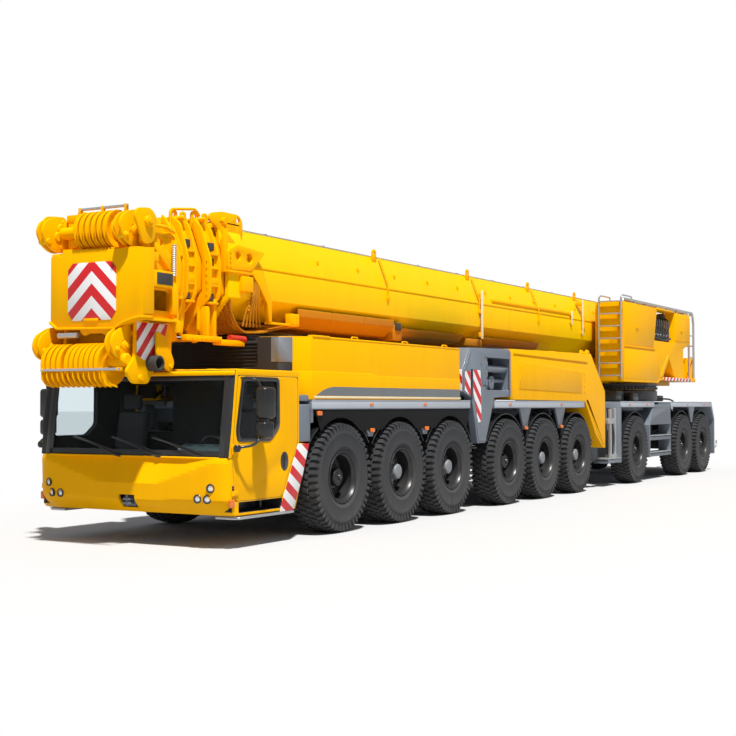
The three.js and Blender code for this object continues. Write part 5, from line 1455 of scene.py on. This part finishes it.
# ---- Telescopic sections ----
# Two inner boxes slide in the base on polymer pads. Each ends in a stiff collar of plates with slots,
# lifting eyes on top and a deep saddle below.
boom_half, stage_step = 0.62, 0.034
for stage, front, rear in ((1, 1.86, 1.64), (2, 2.28, 2.08)):
    body = f"boom_section_{stage}"
    dress(body, (0.01, 3), f"boom_tube_{stage}", body, "yellow_paint", yellow_paint)
    shift = stage_step * stage
    half = boom_half - shift
    outline = [(0.0, 2.6 + shift), (0.3, 2.6 + shift), (0.5, 2.88), (half + 0.115, 3.06),
        (half + 0.13, 3.52), (0.555, 3.96), (0.43, 4.115 - shift), (0.0, 4.115 - shift)]
    hole = [(0.0, 2.84 + shift), (0.3, 2.84 + shift), (half + 0.01, 3.12), (half + 0.01, 3.54),
        (0.435 - shift / 2, 4.035 - shift), (0.0, 4.035 - shift)]
    half_ring = rounded(outline[1:-1], 0.05) + [outline[-1]] + list(reversed(hole)) + [outline[0]]
    flange_spans = ((front - 0.03, front + 0.005), (rear, rear + 0.03))
    parts = [plate("flange", half_ring, "X", x0, x1, 0.004) for x0, x1 in flange_spans]
    for z in (2.98, 3.2, 3.42, 3.6):
        parts.append(block((rear + 0.02, half - 0.01, z), (front - 0.02, half + 0.105, z + 0.028), 0.004))
    parts.append(block((rear + 0.01, half - 0.01, 3.23), (front - 0.01, half + 0.1, 3.31), 0.006))
    parts.append(eye_plate(front - 0.06, 3.98 - shift, 4.21 - shift, 0.014, 0.4, 0.085))
    parts.append(eye_plate(rear + 0.05, 3.98 - shift, 4.19 - shift, 0.012, 0.48, 0.07))
    parts.append(plate("saddle", [(rear + 0.02, 2.9), (front - 0.02, 2.9), (front - 0.02, 2.62),
        (rear + 0.06, 2.5), (rear - 0.02, 2.52)], "Y", 0.3, 0.345, 0.006))
    parts.append(plate("saddle", [(rear + 0.04, 3.05), (front, 3.05), (front + 0.02, 2.66),
        (rear + 0.12, 2.56)], "Y", 0.5, 0.54, 0.006))
    parts.append(block((rear + 0.04, 0.0, 2.52), (front - 0.04, 0.33, 2.56), 0.006))
    parts.append(drum("boss", (front - 0.1, 0.4, 4.1 - shift), "Y", 0.03, 0.3, 0.006, 18))
    parts.append(bolts([(front + 0.008, half + 0.07, 3.1 + 0.085 * k) for k in range(6)], "X", 0.012,
        0.014))
    settle(both_sides(*parts), f"boom_collar_{stage}", body, "yellow_paint", yellow_paint)
    settle(both_sides(*[block((rear + 0.07, half + 0.02, z), (front - 0.05, half + 0.065, z + 0.1), 0.004)
        for z in (3.02, 3.46, 3.66)]), f"collar_slots_{stage}", body, "dark_steel", chassis_black)

# Walkway beam and pipe ends hang under the collars of the first section.
beam_parts = [
    block((1.6, 0.6, 2.505), (2.3, 0.7, 2.575), 0.008),
    block((1.08, 0.56, 2.475), (1.62, 0.68, 2.545), 0.01),
    block((1.66, 0.54, 2.57), (1.72, 0.66, 3.05), 0.01),
    block((1.8, 0.54, 2.57), (1.86, 0.66, 2.95), 0.01),
    bolts([(1.66 + 0.09 * k, 0.702, 2.54) for k in range(7)], "Y", 0.012, 0.02),
]
settle(both_sides(*beam_parts), "collar_carrier_beam", "boom_section_1", "yellow_paint", yellow_paint)
signal_red = dusted("signal_red", (0.55, 0.03, 0.012), 0.35, amount=0.2, grain=60, relief=0.0004, coat=0.2)
settle(both_sides(
    pipe("pipe", [(1.34, 0.62, 2.575), (1.06, 0.66, 2.565)], 0.045),
    pipe("pipe", [(1.6, 0.48, 2.6), (1.46, 0.5, 2.6)], 0.03)
), "pipe_ends", "boom_section_1", "yellow_paint", signal_red)

# ---- Boom head ----
# Welded head of the innermost section: a broad front plate, lobed cheek plates and two sets of rope
# sheaves on their shafts. A chevron plate marks the front and rods keep the ropes in their grooves.
head_tube = copy_of("boom_head", 0.0)
cut_out(head_tube, block((2.565, -1.2, 1.8), (3.6, 1.2, 4.3)))
soften(head_tube, 0.01, 3)
settle(head_tube, "boom_tube_head", "boom_head", "yellow_paint", yellow_paint, replaces=["boom_head"])


def sheave(centre, radius, half):
    """A rope sheave turned from plate, with a deep round groove, a dished web and a hub."""
    line = [(0.055, -half), (0.115, -half), (0.125, -0.012), (radius - 0.075, -0.01),
        (radius - 0.055, -half * 0.8), (radius, -half), (radius + 0.002, -half * 0.72),
        (radius - 0.04, -0.006), (radius - 0.045, 0.0)]
    line += [(r, -y) for r, y in reversed(line[:-1])] + [line[0]]
    return turned("sheave", line, centre, "Y", 40)


upper_x, upper_z, lower_x, lower_z = 3.08, 3.8, 3.18, 2.19
upper_sheaves = [sheave((upper_x, -0.205 + 0.092 * k, upper_z), 0.232, 0.03) for k in range(6)]
settle(join_up(*upper_sheaves), "upper_sheaves", "boom_head", "yellow_paint", yellow_paint)
lower_places = [-0.6 + 0.085 * k for k in range(4)] + [-0.225 + 0.078 * k for k in range(7)]
lower_sheaves = [sheave((lower_x, y, lower_z), 0.255, 0.027) for y in lower_places]
settle(join_up(*lower_sheaves), "lower_sheaves", "boom_head", "yellow_paint", yellow_paint)

front_line = [(-0.665, 2.725), (-0.55, 2.645), (0.36, 2.625), (0.48, 2.69), (0.65, 2.74), (0.775, 2.755),
    (0.775, 3.545), (0.62, 3.56), (0.33, 3.545), (-0.46, 3.585), (-0.5, 3.5), (-0.6, 3.545), (-0.665, 3.5)]
front_plate = plate("front", front_line, "X", 3.2, 3.232, 0.005, 2)
lip_line = front_line[:6]
lip = plate("lip", lip_line + [(y, z - 0.032) for y, z in reversed(lip_line)], "X", 3.05, 3.262, 0.006)
head_parts = [
    front_plate, lip,
    plate("far_side", [(3.215, 2.73), (3.215, 3.54), (2.5, 3.66), (2.5, 2.73)], "Y", -0.665, -0.63, 0.008),
    plate("near_side", [(3.215, 2.76), (3.215, 3.54), (3.02, 3.56), (3.02, 2.78)], "Y", 0.742, 0.773,
        0.006),
    plate("floor", [(3.21, -0.64), (3.21, 0.74), (2.5, 0.68), (2.5, -0.64)], "Z", 2.7, 2.732, 0.006),
    block((2.6, -0.6, 3.42), (3.21, 0.6, 3.455), 0.006),
    block((2.6, -0.6, 3.455), (2.64, 0.6, 3.66), 0.006),
    block((3.225, -0.11, 2.7), (3.262, 0.11, 2.738), 0.006),
    block((2.52, -0.42, 2.3), (2.6, 0.3, 2.72), 0.01),
    drum("shaft", (upper_x, -0.09, upper_z), "Y", 0.075, 1.42, 0.02, 32),
    drum("shaft", (lower_x, -0.12, 2.24), "Y", 0.08, 1.28, 0.02, 32),
    block((2.94, -0.56, 3.54), (3.05, -0.47, 4.02), 0.01),
    block((2.98, -0.4, 3.5), (3.06, -0.32, 4.06), 0.01),
    block((2.92, -0.58, 3.94), (3.06, -0.28, 4.03), 0.012),
    block((3.02, -0.46, 3.62), (3.1, -0.36, 3.72), 0.012),
    block((2.86, -0.62, 2.28), (2.9, 0.5, 2.71), 0.006),
    plate("mouth", [(-0.22, 2.66), (0.3, 2.66), (0.25, 2.575), (0.2, 2.535), (0.13, 2.56), (-0.05, 2.56),
        (-0.14, 2.535), (-0.2, 2.57)], "X", 3.17, 3.215, 0.008),
]
head_parts += [block((3.14, -0.175 + 0.046 * k, 3.545), (3.225, -0.158 + 0.046 * k, 3.572), 0.003)
    for k in range(12)]
head_parts += [plate("guard", rounded([(3.405, 2.16), (3.435, 2.12), (3.435, 2.02), (3.36, 1.945),
    (3.22, 1.915), (3.22, 1.935), (3.34, 1.965), (3.405, 2.04)], 0.02, 2), "Y", -0.615 + 0.083 * k,
    -0.603 + 0.083 * k, 0.0) for k in range(13)]


def lobes(y, direction, upper):
    """A pair of lobed cheek plates with pin bosses, facing outwards on one side."""
    if upper:
        line = rounded([(2.95, 3.6), (3.16, 3.55), (3.34, 3.64), (3.425, 3.8), (3.36, 3.93), (3.2, 4.0),
            (3.0, 4.02)], 0.1, 5)
        pins, height = [(3.15, 3.76, 0.06), (3.31, 3.69, 0.04), (3.06, 3.94, 0.036)], upper_z
    else:
        line = rounded([(2.93, 2.66), (3.16, 2.66), (3.38, 2.54), (3.425, 2.4), (3.34, 2.27), (3.18, 2.24),
            (2.96, 2.26)], 0.1, 5)
        pins, height = [(3.17, 2.41, 0.06), (3.31, 2.36, 0.04), (3.04, 2.56, 0.036)], lower_z
    inner, outer = sorted((y - direction * 0.115, y - direction * 0.085))
    low, high = sorted((y - direction * 0.035, y))
    found = [plate("lobe", line, "Y", inner, outer, 0.006), plate("lobe", line, "Y", low, high, 0.008)]
    for x, z, r in pins:
        found.append(drum("boss", (x, y - direction * 0.055, z), "Y", r, 0.155, 0.01, 28))
        found.append(drum("boss", (x, y + direction * 0.024, z), "Y", r * 0.5, 0.03, 0.006, 20))
    ring = [(pins[0][0] + 0.085 * math.cos(k), y + direction * 0.004, pins[0][1] + 0.085 * math.sin(k))
        for k in range(6)]
    found.append(bolts(ring, "Y", 0.011, 0.014))
    return found


for y, direction, upper in ((0.585, 1, True), (-0.745, -1, True), (0.465, 1, False), (-0.795, -1, False)):
    head_parts += lobes(y, direction, upper)
settle(join_up(*head_parts), "boom_head_front", "boom_head", "yellow_paint", yellow_paint)

side_plate = plate("side", rounded([(2.5, 2.7), (3.1, 2.74), (3.02, 3.52), (3.12, 3.62), (3.06, 3.96),
    (2.9, 4.02), (2.7, 3.8), (2.5, 3.78)], 0.05), "Y", 0.6, 0.64, 0.0)
cut_out(side_plate, plate("window", rounded([(2.6, 2.84), (2.9, 2.84), (2.9, 3.08), (2.6, 3.08)], 0.04),
    "Y", 0.5, 0.7, 0.0), drum("hole", (2.76, 0.62, 3.66), "Y", 0.05, 0.2, 0.001, 24))
soften(side_plate, 0.006)
leg_line = rounded([(3.1, 2.72), (2.86, 2.72), (2.66, 2.36), (2.66, 2.2), (2.8, 2.09), (2.87, 1.96),
    (3.14, 1.96), (3.27, 2.1), (3.12, 2.27)], 0.05, 4)
heel_line = rounded([(2.8, 2.6), (2.62, 2.52), (2.46, 2.22), (2.52, 2.1), (2.62, 2.14), (2.8, 2.3)], 0.05,
    4)
side_parts = [
    side_plate,
    plate("cheek", rounded([(2.98, 3.62), (3.16, 3.58), (3.33, 3.9), (3.28, 4.0), (3.04, 4.03),
        (2.92, 3.92)], 0.07, 5), "Y", 0.7, 0.735, 0.008),
    drum("boss", (3.1, 0.69, 3.86), "Y", 0.065, 0.17, 0.012, 28),
    drum("boss", (3.1, 0.77, 3.86), "Y", 0.036, 0.05, 0.008, 20),
    pipe("stay", [(3.08, 0.69, 3.84), (2.72, 0.69, 3.84), (2.52, 0.66, 3.8)], 0.022, 0.03),
    plate("leg", leg_line, "Y", 0.52, 0.565, 0.008),
    plate("heel", heel_line, "Y", 0.6, 0.63, 0.006),
    drum("boss", (2.54, 0.62, 2.18), "Y", 0.03, 0.06, 0.006, 18),
    drum("boss", (3.02, 0.55, 2.03), "Y", 0.04, 0.08, 0.008, 20),
    block((2.66, 0.625, 3.1), (3.06, 0.77, 3.3), 0.012, 3),
    block((2.52, 0.62, 2.8), (2.6, 0.72, 3.14), 0.01),
    block((2.86, 0.625, 3.4), (3.04, 0.715, 3.52), 0.014, 3),
    block((2.98, 0.62, 2.84), (3.08, 0.69, 3.0), 0.014, 3),
    block((2.5, 0.6, 2.7), (3.1, 0.742, 2.735), 0.006),
    plate("rib", [(2.52, 3.3), (2.58, 3.3), (2.92, 3.58), (2.92, 3.66), (2.52, 3.5)], "Y", 0.635, 0.68,
        0.006),
    plate("flange", rounded([(0.5, 2.7), (0.655, 2.86), (0.715, 3.12), (0.735, 3.4), (0.69, 3.66),
        (0.56, 3.9), (0.44, 4.06), (0.44, 3.9)], 0.05), "X", 2.465, 2.5, 0.005),
    plate("flange", rounded([(0.5, 2.72), (0.635, 2.84), (0.675, 3.12), (0.69, 3.4), (0.65, 3.64),
        (0.54, 3.86), (0.44, 3.99), (0.44, 3.88)], 0.05), "X", 2.345, 2.375, 0.005),
    block((2.37, 0.57, 3.0), (2.47, 0.68, 3.03), 0.004),
    block((2.37, 0.57, 3.52), (2.47, 0.68, 3.55), 0.004),
    plate("tongue", [(2.5, 2.76), (2.6, 2.76), (2.56, 2.3), (2.5, 2.16), (2.44, 2.16), (2.42, 2.6)], "Y",
        0.52, 0.555, 0.006),
    bolts([(2.502, 0.665, 2.96 + 0.09 * k) for k in range(8)], "X", 0.012, 0.014),
    bolts([(2.56 + 0.07 * k, 0.642, 3.72) for k in range(3)] + [(2.94, 0.642, 3.18), (2.94, 0.642, 3.34),
        (2.94, 0.642, 2.9)], "Y", 0.013, 0.02),
    pipe("grip", [(2.3, 0.42, 3.86), (2.3, 0.42, 4.135), (1.8, 0.42, 4.2), (1.72, 0.42, 4.12)], 0.018,
        0.05),
    block((2.24, 0.38, 3.8), (2.34, 0.46, 3.88), 0.01),
]
settle(both_sides(*side_parts), "boom_head_cheeks", "boom_head", "yellow_paint", yellow_paint)

rods = [
    pipe("rod", [(upper_x, -0.35, 4.075), (upper_x, 0.41, 4.075)], 0.018),
    pipe("rod", [(3.43, -0.62, 2.125), (3.43, 0.6, 2.125)], 0.016),
    pipe("pin", [(3.225, -0.53, 2.545), (3.225, -0.22, 2.545)], 0.038)
]
settle(join_up(*rods), "rope_guard_rods", "boom_head", "chrome", galvanised)
holders = [block((3.05, y - 0.012, 3.98), (3.11, y + 0.012, 4.098), 0.004) for y in (-0.33, 0.03, 0.39)]
holders += [block((3.36, y - 0.012, 2.1), (3.446, y + 0.012, 2.145), 0.004) for y in (-0.6, 0.58)]
settle(join_up(*holders), "rod_holders", "boom_head", "yellow_paint", yellow_paint)
dark_tube = turned("tube", [(0.07, 0.0), (0.094, 0.0), (0.094, 0.2), (0.088, 0.205), (0.07, 0.205),
    (0.07, 0.0)], (2.83, 0.5, 2.205), "Y", 36)
spring = turned("spring", [(0, 0)] + [(0.024 + 0.01 * (k % 2), 0.013 * k) for k in range(30)]
    + [(0, 0.39)], (2.57, 0.7, 3.26), "Z", 20)
dark_parts = both_sides(
    dark_tube,
    block((2.68, 0.768, 3.135), (2.97, 0.776, 3.275), 0.003),
    block((2.62, 0.1, 2.34), (2.66, 0.42, 2.68))
)
settle(dark_parts, "head_tube_and_socket", "boom_head", "dark_steel", chassis_black)
settle(both_sides(spring), "head_springs", "boom_head", "chrome", galvanised)

chevron_paint = striped("chevron_stripes", "Y", "Z", 0.295, 0.92, chevron=0.0, phase=0.237)
chevron_line = [(-0.375, 2.82), (-0.3, 2.715), (0.3, 2.715), (0.375, 2.82), (0.375, 3.33), (0.3, 3.405),
    (-0.3, 3.405), (-0.375, 3.33)]
settle(plate("chevrons", chevron_line, "X", 3.233, 3.243, 0.002), "chevron_plate", "boom_head",
    "yellow_paint", chevron_paint)
side_stripes = striped("head_side_stripes", "X", "Z", 0.26, 1.2)
settle(both_sides(plate("sheet", [(2.53, 2.685), (3.09, 2.685), (3.09, 2.3), (2.96, 2.24), (2.82, 2.28),
    (2.63, 2.39)], "Y", 0.566, 0.576, 0.002)), "head_stripe_plates", "boom_head", "yellow_paint",
    side_stripes)

# ---- Luffing cylinder ----
# The great cylinder that raises the boom: a yellow barrel with bolted gland and a polished chromed
# rod whose eye is pinned between the ears under the boom.
dress("luffing_barrel", (0.012, 3), "cylinder_barrel", "luffing_barrel", "yellow_paint", yellow_paint)
dress("luffing_rod", (0.004, 2, 40), "cylinder_rod", "luffing_rod", "chrome", chrome)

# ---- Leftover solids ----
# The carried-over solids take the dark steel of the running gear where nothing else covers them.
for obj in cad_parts.values():
    if not obj.hide_render:
        for place_in_list in range(len(obj.material_slots)):
            obj.material_slots[place_in_list].material = rim_black
